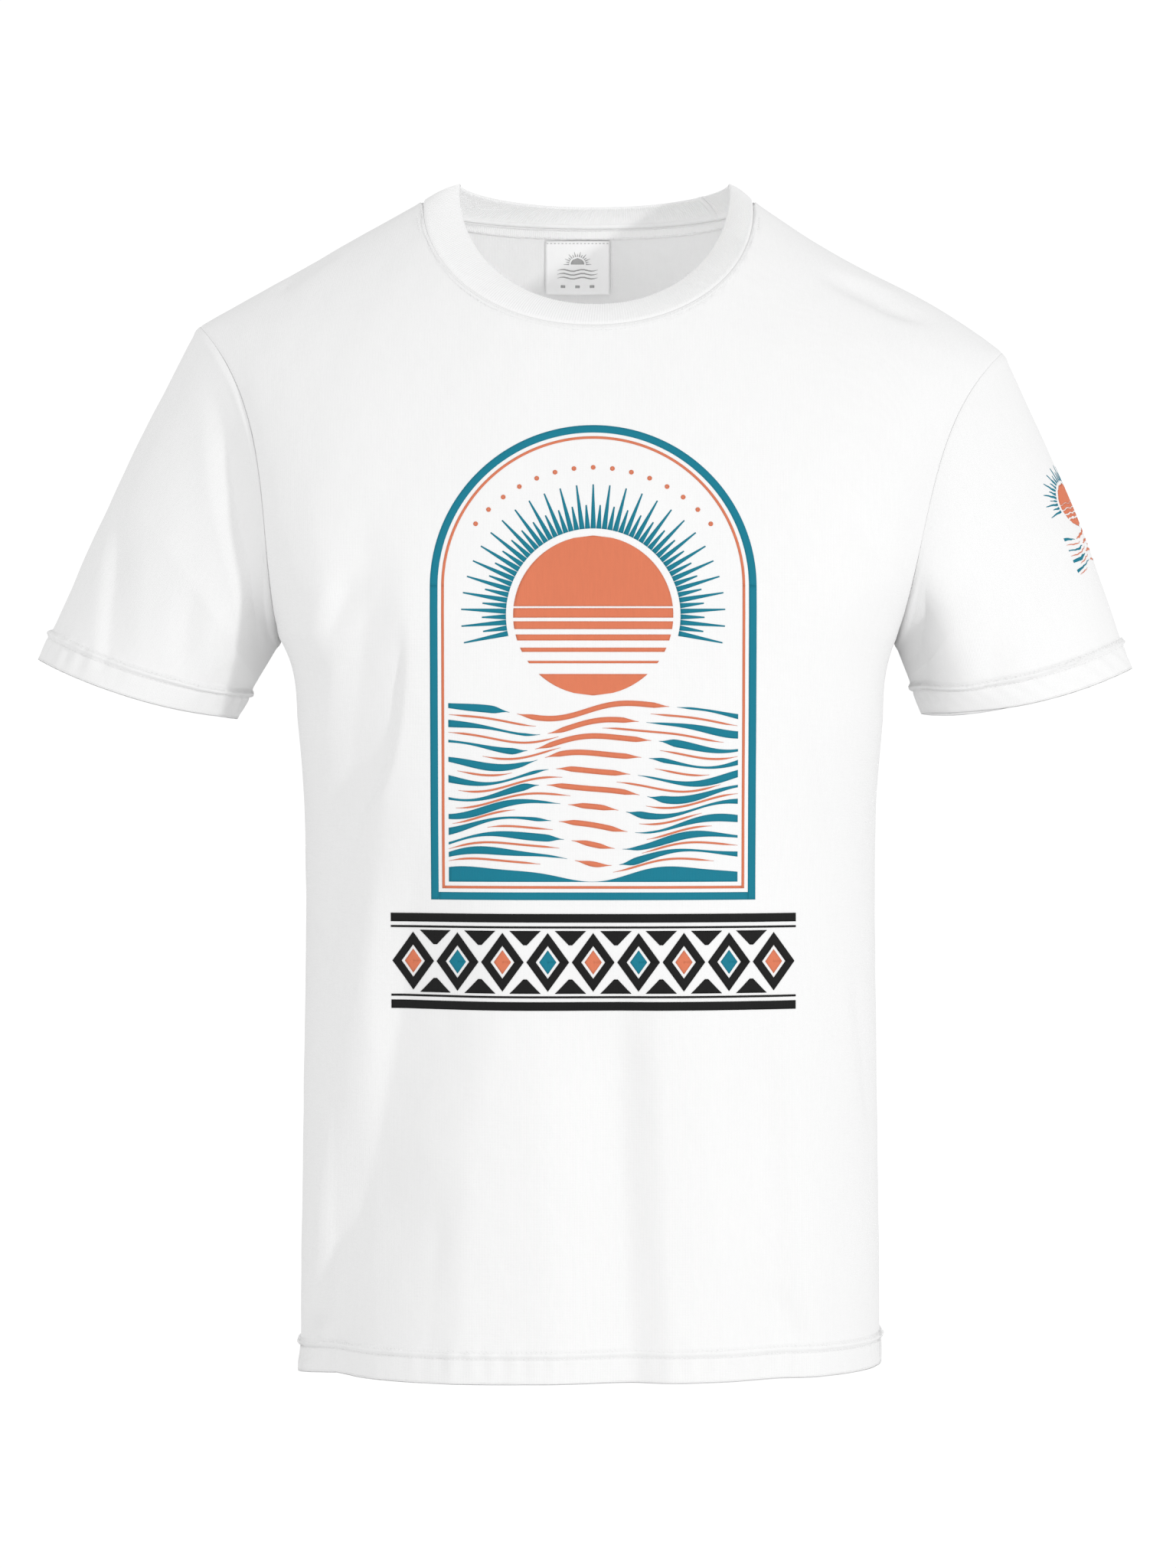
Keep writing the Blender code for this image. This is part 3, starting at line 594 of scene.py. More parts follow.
def cuff_point(side, around):
    """The sleeve's lower edge, an oval from the outer to the inner corner."""
    outer = np.array([side.sign * side.cuff_outer[0], 0, side.cuff_outer[1]])
    inner = np.array([side.sign * side.cuff_inner[0], 0, side.cuff_inner[1]])
    angle = 2 * math.pi * around
    along = (outer - inner) / 2
    down = np.array([0, 0, -side.cuff_bow])
    centre = (outer + inner) / 2
    depth_axis = np.array([0, -CUFF_HALF_DEPTH, 0])
    return (centre + np.cos(angle)[..., None] * along + np.sin(angle)[..., None] * depth_axis
            + (np.sin(angle)**2)[..., None] * down)


def sleeve_point(side, around, t):
    """Outer face of a sleeve.  t: 0 at the armhole, 1 at the cuff's edge."""
    start = armhole_point(side, around)
    end = cuff_point(side, around)
    length = np.linalg.norm(end - start, axis=-1)
    angle = 2 * math.pi * around
    radial = np.stack([side.sign * np.cos(angle), -np.sin(angle), np.zeros_like(angle)], axis=-1)
    upper = soften((length - UNDERARM) / UPPER_SLEEVE)
    swell = side.swell * np.sin(math.pi * t**side.swell_skew) * upper
    dent = side.valley * np.sin(angle).clip(0) * np.sin(math.pi * np.clip(t / VALLEY_REACH, 0, 1))
    return start + (end - start) * t[..., None] + radial * (swell - dent)[..., None]


# Grids

def lengths(points, axis):
    """Length along the cloth from the first point of each line of a grid."""
    step = np.linalg.norm(np.diff(points, axis=axis), axis=-1)
    start = np.zeros_like(np.take(step, [0], axis=axis))
    return np.concatenate([start, np.cumsum(step, axis=axis)], axis=axis)


def grid_normals(grid, closed):
    """Unit normals of a grid of points, facing as its quads do."""
    if closed:
        across = np.roll(grid, -1, axis=0) - np.roll(grid, 1, axis=0)
    else:
        across = np.gradient(grid, axis=0)
    normal = np.cross(across, np.gradient(grid, axis=1))
    return normal / np.maximum(np.linalg.norm(normal, axis=-1, keepdims=True), 1e-12)


class Surface:
    """The outer face of a pattern piece, read at any fraction of a column and a row."""

    def __init__(self, points, closed=False):
        self.points = points
        self.closed = closed
        self.normals = grid_normals(points, closed)
        self.rise = lengths(points, 1)

    def read(self, field, column, row):
        columns, rows = self.points.shape[:2]
        column, row = np.broadcast_arrays(np.asarray(column, float), np.asarray(row, float))
        column = column % columns if self.closed else np.clip(column, 0, columns - 1.001)
        row = np.clip(row, 0, rows - 1.001)
        i = column.astype(int)
        j = row.astype(int)
        across = (column - i)[..., None]
        up = (row - j)[..., None]
        k = (i + 1) % columns
        low = field[i, j] * (1 - across) + field[k, j] * across
        high = field[i, j + 1] * (1 - across) + field[k, j + 1] * across
        return low * (1 - up) + high * up

    def at(self, column, row, lift=0.0):
        """Points on the face, moved off it along its normals."""
        off = self.read(self.normals, column, row) * np.asarray(lift)[..., None]
        return self.read(self.points, column, row) + off

    def up(self, column, row):
        normal = self.read(self.normals, column, row)
        return normal / np.linalg.norm(normal, axis=-1, keepdims=True)

    def row_from(self, column, distance, from_top=False):
        """The fractional row that lies this far along the cloth from its first or last row."""
        columns = self.points.shape[0]
        near = np.round(np.asarray(column)).astype(int) % columns
        rows = np.arange(self.points.shape[1])
        found = []
        for i in near.ravel():
            rise = self.rise[i]
            target = rise[-1] - distance if from_top else distance
            found.append(np.interp(target, rise, rows))
        return np.array(found).reshape(near.shape)


def seam_dip(distance, deep=SEAM_DIP):
    """The cloth rolls in at a seam: depth at this distance from it."""
    return deep * np.exp(-(distance / SEAM_ROLL)**2)


def groove(distance, deep):
    """A needle row's groove: depth at this distance from it."""
    return deep * np.exp(-(distance / NEEDLE_WIDTH)**2)


def hem_relief(height, run):
    """A twin-needle hem: the band stands out, the rows sink in, and the cloth puffs up between them."""
    low, high = HEM_NEEDLES
    band = HEM_STANDS_OUT * soften((high + HEM_STEP[0] - height) / HEM_STEP[1])
    rows = sum(groove(height - row, deep) for row, deep in zip(HEM_NEEDLES, HEM_GROOVES))
    between = bump(height - (low + high) / 2, (high - low) * HEM_RIDGE_WIDTH)
    ridge = between * (HEM_RIDGE + HEM_GATHERS * (rippled(run, GATHERS) * fading(run, GATHERS)))
    ripple = rippled(run, PUCKERS) * fading(run, PUCKERS)
    pucker = HEM_PUCKER * ripple * bump(height - low * PUCKER_MIDDLE, PUCKER_WIDTH)
    slow = np.sin(run / EDGE_WAVE.length + EDGE_WAVE.drift * np.sin(run / EDGE_WAVE.drift_length))
    edge = HEM_EDGE_WAVE * slow * bump(height, EDGE_WAVE_WIDTH)
    return band - rows + ridge + pucker + edge


def neck_relief(distance, run):
    """The same for the needle rows below the collar, where the cloth lies on its allowance."""
    raised = NECK_STANDS_OUT * soften((NECK_NEEDLES[1] + NECK_STEP[0] - distance) / NECK_STEP[1])
    rows = sum(groove(distance - row, NECK_GROOVE) for row in NECK_NEEDLES)
    near = bump(distance - NECK_PUCKER_WIDTH, NECK_PUCKER_WIDTH)
    return raised - rows + NECK_PUCKER * rippled(run, NECK_PUCKERS) * near


def turned_hem(points, normals, height):
    """The rows of the hem's folded edge and of the cloth turned up inside it, highest first."""
    rows = np.arange(points.shape[1])
    inside = []
    for level in np.linspace(HEM_DEPTH + HEM_OVERLAP, HEM_FOLD, TURNING_ROWS):
        pick = [np.interp(level, height[i], rows) for i in range(len(points))]
        j = np.array(pick).astype(int)
        share = (np.array(pick) - j)[:, None]
        i = np.arange(len(points))
        place = points[i, j] * (1 - share) + points[i, j + 1] * share
        facing = normals[i, j] * (1 - share) + normals[i, j + 1] * share
        inside.append(place - facing * 2 * HEM_FOLD)
    down = points[:, 0] - points[:, 3]
    down = down / np.linalg.norm(down, axis=-1, keepdims=True)
    centre = place - facing * HEM_FOLD
    fold = [centre + (down * math.sin(turn) - facing * math.cos(turn)) * HEM_FOLD
            for turn in np.linspace(0, math.pi, FOLD_POINTS)[1:-1]]
    return np.stack(inside + fold, axis=1)


# Meshes

def mesh_piece(name, points, faces, uvs=None):
    """A smooth-shaded object at the origin, in the scene's own collection."""
    mesh = bpy.data.meshes.new(name)
    mesh.from_pydata(points, [], faces)
    if uvs is not None:
        layer = mesh.uv_layers.new(name="UVMap")
        corner = np.empty(len(mesh.loops), dtype=np.int32)
        mesh.loops.foreach_get("vertex_index", corner)
        layer.data.foreach_set("uv", np.asarray(uvs, dtype=np.float32)[corner].ravel())
    mesh.shade_smooth()
    piece = bpy.data.objects.new(name, mesh)
    bpy.context.scene.collection.objects.link(piece)
    return piece


def grid_piece(name, grid, closed=False, uv=None):
    """A grid of points as one sheet of quads, with its lengths in metres as its UV map."""
    columns, rows = grid.shape[:2]
    i, j = np.meshgrid(np.arange(columns if closed else columns - 1), np.arange(rows - 1), indexing="ij")
    k = (i + 1) % columns
    faces = np.stack([i * rows + j, k * rows + j, k * rows + j + 1, i * rows + j + 1], axis=-1)
    if uv is None:
        run = lengths(grid, 0)
        if closed:
            girth = run[-1:] + np.linalg.norm(grid[:1] - grid[-1:], axis=-1)
            across = np.minimum(run, girth - run)
        else:
            across = run - run[columns // 2]
        uv = np.stack([across, lengths(grid, 1)], axis=-1)
    return mesh_piece(name, grid.reshape(-1, 3).tolist(), faces.reshape(-1, 4).tolist(), uv.reshape(-1, 2))


def thicken(piece, thickness):
    """The piece with its wall's thickness, measured inwards from the face that was given."""
    wall = piece.modifiers.new("Thickness", "SOLIDIFY")
    wall.thickness = thickness
    wall.offset = -1
    return settle(piece)


def settle(piece):
    """The piece's modifiers, worked into a plain mesh."""
    bpy.context.view_layer.update()
    evaluated = piece.evaluated_get(bpy.context.evaluated_depsgraph_get())
    mesh = bpy.data.meshes.new_from_object(evaluated)
    mesh.name = piece.name
    piece.modifiers.clear()
    old = piece.data
    piece.data = mesh
    bpy.data.meshes.remove(old)
    return piece


def dress(piece, material, replaces=()):
    """The piece's finish, its hanging from the root, and the solids it stands for, which are hidden."""
    piece.data.materials.clear()
    piece.data.materials.append(material)
    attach(piece, root)
    if replaces:
        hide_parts(*replaces)
    return piece


# Node trees

class Wire:
    """A socket in an expression; arithmetic on it adds Math nodes."""

    def __init__(self, tree, socket):
        self.tree = tree
        self.socket = socket

    def maths(self, operation, *values):
        return self.tree.add("ShaderNodeMath", {"operation": operation}, dict(enumerate(values)))

    def __add__(self, other):
        return self.maths("ADD", self, other)

    def __sub__(self, other):
        return self.maths("SUBTRACT", self, other)

    def __rsub__(self, other):
        return self.maths("SUBTRACT", other, self)

    def __mul__(self, other):
        return self.maths("MULTIPLY", self, other)

    def __truediv__(self, other):
        return self.maths("DIVIDE", self, other)

    def other(self, output):
        """Another output of the same node."""
        return Wire(self.tree, self.socket.node.outputs[output])

    def sine(self):
        return self.maths("SINE", self)

    def absolute(self):
        return self.maths("ABSOLUTE", self)

    __radd__ = __add__
    __rmul__ = __mul__


class Tree:
    """A node tree that is written as expressions."""

    def __init__(self, graph):
        self.graph = graph

    def add(self, kind, settings=None, sockets=None, output=0):
        """A node of this type: its settings first, then its sockets' values or links."""
        node = self.graph.nodes.new(kind)
        for name, value in (settings or {}).items():
            setattr(node, name, value)
        for name, value in (sockets or {}).items():
            if isinstance(value, Wire):
                self.graph.links.new(value.socket, node.inputs[name])
            else:
                node.inputs[name].default_value = value
        return Wire(self, node.outputs[output]) if node.outputs else node


def cloth_material(name, finish):
    """Knitted, woven or printed cloth, its knit and its yarn's unevenness in step with the UV map."""
    made = bpy.data.materials.new(name)
    made.use_nodes = True
    shader = made.node_tree.nodes["Principled BSDF"]
    tree = Tree(made.node_tree)

    def noise(vector, scale, detail, roughness=0.5):
        return tree.add("ShaderNodeTexNoise", {"noise_dimensions": "2D"},
                        {"Vector": vector, "Scale": scale, "Detail": detail, "Roughness": roughness})

    place = tree.add("ShaderNodeTexCoord", output="UV")
    across = tree.add("ShaderNodeSeparateXYZ", sockets={0: place})
    along = across.other(1)
    drift = noise(place, 60.0, 1.0)
    wale = ((across / finish.knit[0] + drift * 0.8) * (2 * math.pi)).sine()
    course = ((along / finish.knit[1] + drift * 0.8) * (2 * math.pi)).sine()
    stretch = tree.add("ShaderNodeMapping", sockets={"Vector": place, "Scale": (*SLUB, 1)})
    yarn = noise(stretch, 1.0, 3.0, 0.6) - 0.5
    cloud = noise(place, 14.0, 2.0) - 0.5
    crinkle = noise(place, 380.0, 2.0, 0.55) - 0.5

    tint = finish.tint
    shade = yarn * (tint * 2) + cloud * tint + (wale * course) * (tint * 0.4) + 1.0
    red, green, blue = (shade * part for part in finish.colour)
    tone = tree.add("ShaderNodeCombineColor", sockets={"Red": red, "Green": green, "Blue": blue})
    height = (wale * finish.relief + course * (finish.relief * 0.5) + crinkle * (finish.creping * 2)
              + yarn * finish.relief)
    bumped = tree.add("ShaderNodeBump", sockets={"Height": height, "Strength": 1.0, "Distance": 1.0})
    roughness = finish.roughness + yarn * 0.12
    for socket, wire in (("Base Color", tone), ("Roughness", roughness), ("Normal", bumped)):
        tree.graph.links.new(wire.socket, shader.inputs[socket])
    shader.inputs["Specular IOR Level"].default_value = SPECULAR
    return made


def geometry_tree(name, inputs):
    """An empty Geometry Nodes tree with a geometry and these named inputs."""
    group = bpy.data.node_groups.new(name, "GeometryNodeTree")
    group.interface.new_socket("Geometry", in_out="INPUT", socket_type="NodeSocketGeometry")
    for label, kind in inputs.items():
        group.interface.new_socket(label, in_out="INPUT", socket_type="NodeSocket" + kind)
    group.interface.new_socket("Geometry", in_out="OUTPUT", socket_type="NodeSocketGeometry")
    tree = Tree(group)
    given = group.nodes.new("NodeGroupInput")
    return tree, {socket.name: Wire(tree, socket) for socket in given.outputs if socket.name}


def end_tree(tree, geometry, material):
    """Realize Instances, Shade Smooth, Set Material and the tree's output."""
    real = tree.add("GeometryNodeRealizeInstances", sockets={0: geometry})
    smooth = tree.add("GeometryNodeSetShadeSmooth", sockets={0: real})
    painted = tree.add("GeometryNodeSetMaterial", sockets={0: smooth, "Material": material})
    tree.add("NodeGroupOutput", sockets={0: painted})
    return tree.graph


def grow(piece, group, values):
    """The piece, remade by a Geometry Nodes tree with these inputs."""
    nodes = piece.modifiers.new(group.name, "NODES")
    nodes.node_group = group
    for item in group.interface.items_tree:
        if item.item_type == "SOCKET" and item.in_out == "INPUT" and item.name in values:
            nodes[item.identifier] = values[item.name]
    return settle(piece)


def scaled(tree, vector, factor):
    """A vector, times a number."""
    return tree.add("ShaderNodeVectorMath", {"operation": "SCALE"}, {0: vector, "Scale": factor})


def vector_attribute(tree, name):
    """A vector that is stored at each point."""
    return tree.add("GeometryNodeInputNamedAttribute", {"data_type": "FLOAT_VECTOR"}, {"Name": name})


def even_curve(tree, edges, step):
    """A path of edges as a curve with points this far apart."""
    line = tree.add("GeometryNodeMeshToCurve", sockets={0: edges})
    return tree.add("GeometryNodeResampleCurve", {"mode": "LENGTH"}, {0: line, "Length": step})


def stitch_tree():
    """A row of stitches along a path: one short thread for each stitch length, with a small gap."""
    tree, given = geometry_tree("stitches", {
        "Stitch Length": "Float", "Gap": "Float", "Thread Radius": "Float", "Unevenness": "Float",
        "Seed": "Int", "Material": "Material"})
    radius = given["Thread Radius"]
    spread = given["Unevenness"]
    points = even_curve(tree, given["Geometry"], given["Stitch Length"])
    thread = tree.add("GeometryNodeMeshUVSphere", sockets={"Segments": 6, "Rings": 5, "Radius": 1.0})
    half = (given["Stitch Length"] - given["Gap"]) * 0.5
    size = tree.add("ShaderNodeCombineXYZ", sockets={0: half, 1: radius, 2: radius})
    tangent = tree.add("GeometryNodeInputTangent")
    turn = tree.add("FunctionNodeAlignRotationToVector", {"axis": "X"}, {"Vector": tangent})
    uneven = tree.add("FunctionNodeRandomValue", {"data_type": "FLOAT"},
                      {2: 1 - spread, 3: 1 + spread, "Seed": given["Seed"]}, output=1)
    placed = tree.add("GeometryNodeInstanceOnPoints", sockets={
        "Points": points, "Instance": thread, "Rotation": turn, "Scale": scaled(tree, size, uneven)})
    return end_tree(tree, placed, given["Material"])


def looper_tree():
    """A thread that runs to and fro across a path, as on an overlocked or coverstitched edge."""
    tree, given = geometry_tree("looper_thread", {
        "Pitch": "Float", "Half Width": "Float", "Thread Radius": "Float", "Material": "Material"})
    fine = even_curve(tree, given["Geometry"], given["Pitch"] / 8)
    travelled = tree.add("GeometryNodeSplineParameter", output="Length")
    swing = (travelled / given["Pitch"] * (2 * math.pi)).sine()
    offset = scaled(tree, vector_attribute(tree, "side"), swing * given["Half Width"])
    moved = tree.add("GeometryNodeSetPosition", sockets={0: fine, "Offset": offset})
    round_thread = tree.add("GeometryNodeCurvePrimitiveCircle",
                            sockets={"Resolution": 5, "Radius": given["Thread Radius"]})
    tube = tree.add("GeometryNodeCurveToMesh", sockets={
        "Curve": moved, "Profile Curve": round_thread, "Fill Caps": True})
    return end_tree(tree, tube, given["Material"])


def rib_tree():
    """Ribs across a band: its face sinks in between them, in step with the band's first coordinate."""
    tree, given = geometry_tree("ribs", {"Ribs": "Float", "Depth": "Float", "Material": "Material"})
    around = tree.add("ShaderNodeSeparateXYZ", sockets={0: vector_attribute(tree, "band")})
    strength = around.other(1)
    valley = ((around * given["Ribs"] * math.pi).sine()).absolute()
    sunk = (1 - valley) * given["Depth"] * strength * -1
    offset = scaled(tree, tree.add("GeometryNodeInputNormal"), sunk)
    moved = tree.add("GeometryNodeSetPosition", sockets={0: given["Geometry"], "Offset": offset})
    return end_tree(tree, moved, given["Material"])


# Pattern pieces

def stations(line, low, high, step, start=(0,), end=(0,)):
    """Parameters of points a step apart along a line, closer by given lengths near its ends."""
    dense = np.linspace(low, high, 4001)
    run = lengths(line(dense)[:, None], 0)[:, 0]
    start = np.asarray(start)
    end = run[-1] - np.asarray(end)[::-1]
    middle = np.linspace(start[-1], end[0], int(round((end[0] - start[-1]) / step)) + 1)
    return np.interp(np.concatenate([start[:-1], middle, end[1:]]), run, dense)


def tuck_columns(grid, outward):
    """A panel's side edges, turned in along the seam."""
    return np.concatenate([grid[:1] - outward[:1] * SEAM_TURN, grid, grid[-1:] - outward[-1:] * SEAM_TURN])


def tuck_top(grid, outward):
    """A piece's last row, turned in along the seam."""
    return np.concatenate([grid, grid[:, -1:] - outward[:, -1:] * SEAM_TURN], axis=1)


def panel_surface(face):
    """A body panel's outer face with its folds, creases, seams and hem."""
    hem_steps = np.linspace(0, HEM_BAND, HEM_ROWS + 1)
    u = stations(lambda t: panel_point(face, t, COLUMN_LEVEL), -1, 1, COLUMN_STEP, FINE_STEPS, FINE_STEPS)
    v = stations(lambda t: panel_point(face, ROW_COLUMN, t), 0, 2, ROW_STEP, hem_steps, FINE_STEPS)
    if face == "back":
        u = u[::-1]
    base = panel_point(face, *np.meshgrid(u, v, indexing="ij"))
    rise = lengths(base, 1)
    run = lengths(base, 0)
    to_side = np.minimum(run, run[-1:] - run)
    to_top = rise[:, -1:] - rise
    x, z = base[..., 0], base[..., 2]
    in_neck = soften((NECK_SHARE + NECK_FADE / 2 - np.abs(u)) / NECK_FADE)[:, None]

    calm = soften(np.minimum(to_side, to_top) / SEAM_CALM)
    relief = (unevenness(base, PANEL_UNEVENNESS) - sink(CREASES[face], x, z, True)) * calm
    relief = relief + hem_relief(rise, run + (BACK_HEM_SHIFT if face == "back" else 0))
    relief = relief - seam_dip(to_side) - seam_dip(to_top) - seam_dip(to_top, NECK_DIP) * in_neck
    relief = relief + neck_relief(to_top, run) * in_neck
    surface = Surface(base + grid_normals(base, False) * relief[..., None])
    surface.u = u
    surface.face = face
    surface.in_neck = np.flatnonzero(np.abs(u) < NECK_SHARE)
    return surface


def sleeve_surface(side):
    """A sleeve's outer face, from the cuff's edge up to the armhole."""
    around = np.arange(SLEEVE_COLUMNS) / SLEEVE_COLUMNS
    if side.sign > 0:
        around = -around % 1
    length = np.linalg.norm(cuff_point(side, around) - armhole_point(side, around), axis=-1)[:, None]
    heights = np.linspace(0, HEM_BAND, HEM_ROWS + 1)
    hem_t = 1 - heights / length
    share = stations(lambda t: np.stack([t, t * 0, t * 0], axis=-1) * SLEEVE_LENGTH, 0, 1, ROW_STEP,
                     (0,), FINE_STEPS)
    body_t = hem_t[:, -1:] * (1 - share[1:])
    t = np.concatenate([hem_t, body_t], axis=1)
    base = sleeve_point(side, np.repeat(around[:, None], t.shape[1], 1), t)
    rise = lengths(base, 1)
    run = lengths(base, 0)
    girth = run[-1:] * SLEEVE_COLUMNS / (SLEEVE_COLUMNS - 1)
    to_top = rise[:, -1:] - rise
    to_underarm = np.abs(around - 0.5)[:, None] * girth
    normals = grid_normals(base, True)

    calm = soften(to_top / SEAM_CALM)
    seen = soften(-normals[..., 1] / SEEN_FACING)
    folds = sink(CREASES["sleeve_" + side.name], base[..., 0], base[..., 2], True) * seen
    relief = (unevenness(base, SLEEVE_UNEVENNESS, side.sign) - folds) * calm + hem_relief(rise, run)
    relief = relief - seam_dip(to_top) - seam_dip(to_underarm) * UNDERARM_DIP
    high, away, width = ARMHOLE_RIDGE
    ridge = high * np.exp(-((to_top - away) / width)**2)
    surface = Surface(base + normals * (relief + ridge)[..., None], closed=True)
    surface.around = around
    return surface


def straight_lengths(face, points):
    """UV map of a panel: its length straight across at each height, and up one line for all of it."""
    x = np.arange(-MAP_REACH, MAP_REACH, MAP_STEP)
    z = np.arange(HEM_Z - MAP_MARGIN, MAP_MARGIN, MAP_STEP)
    chart_x, chart_z = np.meshgrid(x, z, indexing="ij")
    chart = Surface(np.stack([chart_x, depth(face, chart_x, chart_z), chart_z], axis=-1))
    across = lengths(chart.points, 0)
    line = np.abs(x - MAP_LINE_X).argmin()
    field = np.stack(np.broadcast_arrays(across - across[len(x) // 2], chart.rise[line]), axis=-1)
    return chart.read(field, (points[..., 0] - x[0]) / MAP_STEP, (points[..., 2] - z[0]) / MAP_STEP)


def sewn_piece(name, surface):
    """A pattern piece with its edges turned in, its hem turned up, and its thickness."""
    hem = turned_hem(surface.points, surface.normals, surface.rise)
    grid = np.concatenate([hem, surface.points], axis=1)
    outward = np.concatenate([np.repeat(surface.normals[:, :1], hem.shape[1], 1), surface.normals], axis=1)
    top = tuck_top(grid, outward)
    if not surface.closed:
        outward = np.concatenate([outward, outward[:, -1:]], axis=1)
        top = tuck_columns(top, outward)
    uv = None if surface.closed else straight_lengths(surface.face, top)
    return thicken(grid_piece(name, top, surface.closed, uv), CLOTH)


# Collar

def collar_lines(steps):
    """The collar's seam and top edge; steps runs from 0 to 4, half of it by the front."""
    turn = np.where(steps < 2, steps - 1, 3 - steps)
    front = steps < 2
    lines = []
    for face in ("front", "back"):
        x, z = neckline(face, turn)
        y = depth(face, x, z) * (-1 if face == "front" else 1)
        y = np.where(np.abs(turn) > 0.9999, 0, y)
        seam = np.stack([x, y, z], axis=-1)
        top_y, top_z = COLLAR_TOP_FRONT if face == "front" else COLLAR_TOP_BACK
        angle = turn * math.pi / 2
        fall = np.abs(np.cos(angle))**COLLAR_FALL[face]
        sweep = np.sign(turn) * np.abs(np.sin(angle))**(2 / NECK_ROUNDNESS)
        round_neck = np.abs(np.cos(angle))**(2 / NECK_ROUNDNESS)
        top = np.stack([COLLAR_TOP_SHIFT + COLLAR_TOP_HALF_WIDTH * sweep, top_y * round_neck,
                        COLLAR_TOP_SIDE_Z + (top_z - COLLAR_TOP_SIDE_Z) * fall], axis=-1)
        lines.append((seam, top))
    pick = front[:, None]
    return np.where(pick, lines[0][0], lines[1][0]), np.where(pick, lines[0][1], lines[1][1])


def collar_surface():
    """The collar's outer face: columns once round the neck, rows from the seam to the top edge."""
    count = RIBS * COLLAR_COLUMNS_PER_RIB
    dense = np.linspace(0, 4, 8001)
    seam, top = collar_lines(dense)
    run = lengths(((seam + top) / 2)[:, None], 0)[:, 0]
    steps = np.interp(np.arange(count) / count * run[-1], run, dense)
    seam, top = collar_lines(steps)
    p = (np.sin(np.linspace(-math.pi / 2, math.pi / 2, COLLAR_ROWS)) + 1) / 2
    p = (p + np.linspace(0, 1, COLLAR_ROWS)) / 2
    flat = seam[:, None] + (top - seam)[:, None] * p[:, None]
    bulge = np.array([0, 0, COLLAR_ROLL]) * (4 * p * (1 - p))[:, None]
    base = flat + bulge
    reach = lengths(base, 1)
    slow = unevenness(base, COLLAR_UNEVENNESS)
    deep, narrow = COLLAR_JOIN_GROOVE
    high, wide = COLLAR_JOIN_SWELL
    join = deep * np.exp(-((steps - COLLAR_JOIN) / narrow)**2) - high * bump(steps - COLLAR_JOIN, wide)
    relief = slow * bump(p - 0.5, 0.5) - seam_dip(reach, COLLAR_DIP) - join[:, None]
    return Surface(base + grid_normals(base, True) * relief[..., None], closed=True)


def make_collar(surface, material):
    """A folded band of rib: outer face, rolled top edge and inner face, closed inside the seam."""
    radius = COLLAR_THICKNESS / 2
    grid, normals = surface.points, surface.normals
    rolled = grid[:, :-1]
    facing = normals[:, :-1]
    centre = rolled[:, -1] - facing[:, -1] * radius
    along = grid[:, -1] - grid[:, -2]
    along = along / np.linalg.norm(along, axis=-1, keepdims=True)
    roll = [centre + (facing[:, -1] * math.cos(turn) + along * math.sin(turn)) * radius
            for turn in np.linspace(0, math.pi, ROLL_POINTS)[1:-1]]
    inner = (rolled - facing * COLLAR_THICKNESS)[:, ::-1]
    low = rolled[:, :1] - facing[:, :1] * SEAM_TURN - along[:, None] * SEAM_TURN
    shell = np.concatenate([low, rolled, np.stack(roll, axis=1), inner], axis=1)
    closed = np.concatenate([shell, shell[:, :1]], axis=1)
    columns, rows = closed.shape[:2]
    piece = grid_piece("collar_rib", closed, closed=True)
    share = np.arange(columns) / columns
    height = lengths(closed, 1)
    strength = (soften((height - RIB_START) / RIB_FADE)
                * soften((height[:, -1:] - RIB_END - height) / RIB_FADE))
    band = np.zeros((columns, rows, 3))
    band[..., 0] = share[:, None]
    band[..., 1] = strength
    store = piece.data.attributes.new("band", "FLOAT_VECTOR", "POINT")
    store.data.foreach_set("vector", band.astype(np.float32).ravel())
    grow(piece, rib_tree(), {"Ribs": float(RIBS), "Depth": RIB_DEPTH, "Material": material})
    weld(piece)
    return dress(piece, material, ["collar"])


def weld(piece):
    """Points that lie on each other become one."""
    join = piece.modifiers.new("Weld", "WELD")
    join.merge_threshold = WELD_DISTANCE
    return settle(piece)


# Inside: tapes, seam allowances, label

def strip(name, grid, thickness):
    """A narrow strip; the grid is its visible face, and its thickness lies behind it."""
    return thicken(grid_piece(name, grid), thickness)


def edge_columns(surface, rows, distance, last):
    """The fractional column that lies this far along the cloth from a panel's first or last column."""
    points = surface.points
    found = []
    for row in rows:
        run = lengths(points[:, int(row)][:, None], 0)[:, 0]
        target = run[-1] - distance if last else distance
        found.append(np.interp(target, run, np.arange(len(run))))
    return np.array(found)


def inner_lift(extra=0.0):
    """How far a lining's face lies off the outer face of the cloth that it lines."""
    return -(CLOTH + LINING_GAP + TAPE + extra)


def near_top(surface, columns, distance, lift):
    """Points along a piece's last row, this far down from it."""
    rows = surface.row_from(columns, distance, True)
    return surface.at(columns, rows, np.full(len(columns), lift))


def crowned(width_share, crown):
    """A tape's middle stands off a little more than its edges."""
    return crown * 4 * width_share * (1 - width_share)


def make_neck_lining(name, surface, width, crown=0.0):
    """A strip inside a panel's neckline."""
    rows = [near_top(surface, surface.in_neck, NECK_TAPE_START + width * share,
                     inner_lift(crowned(share, crown))) for share in np.linspace(0, 1, 6)]
    return strip(name, np.stack(rows, axis=1), TAPE)


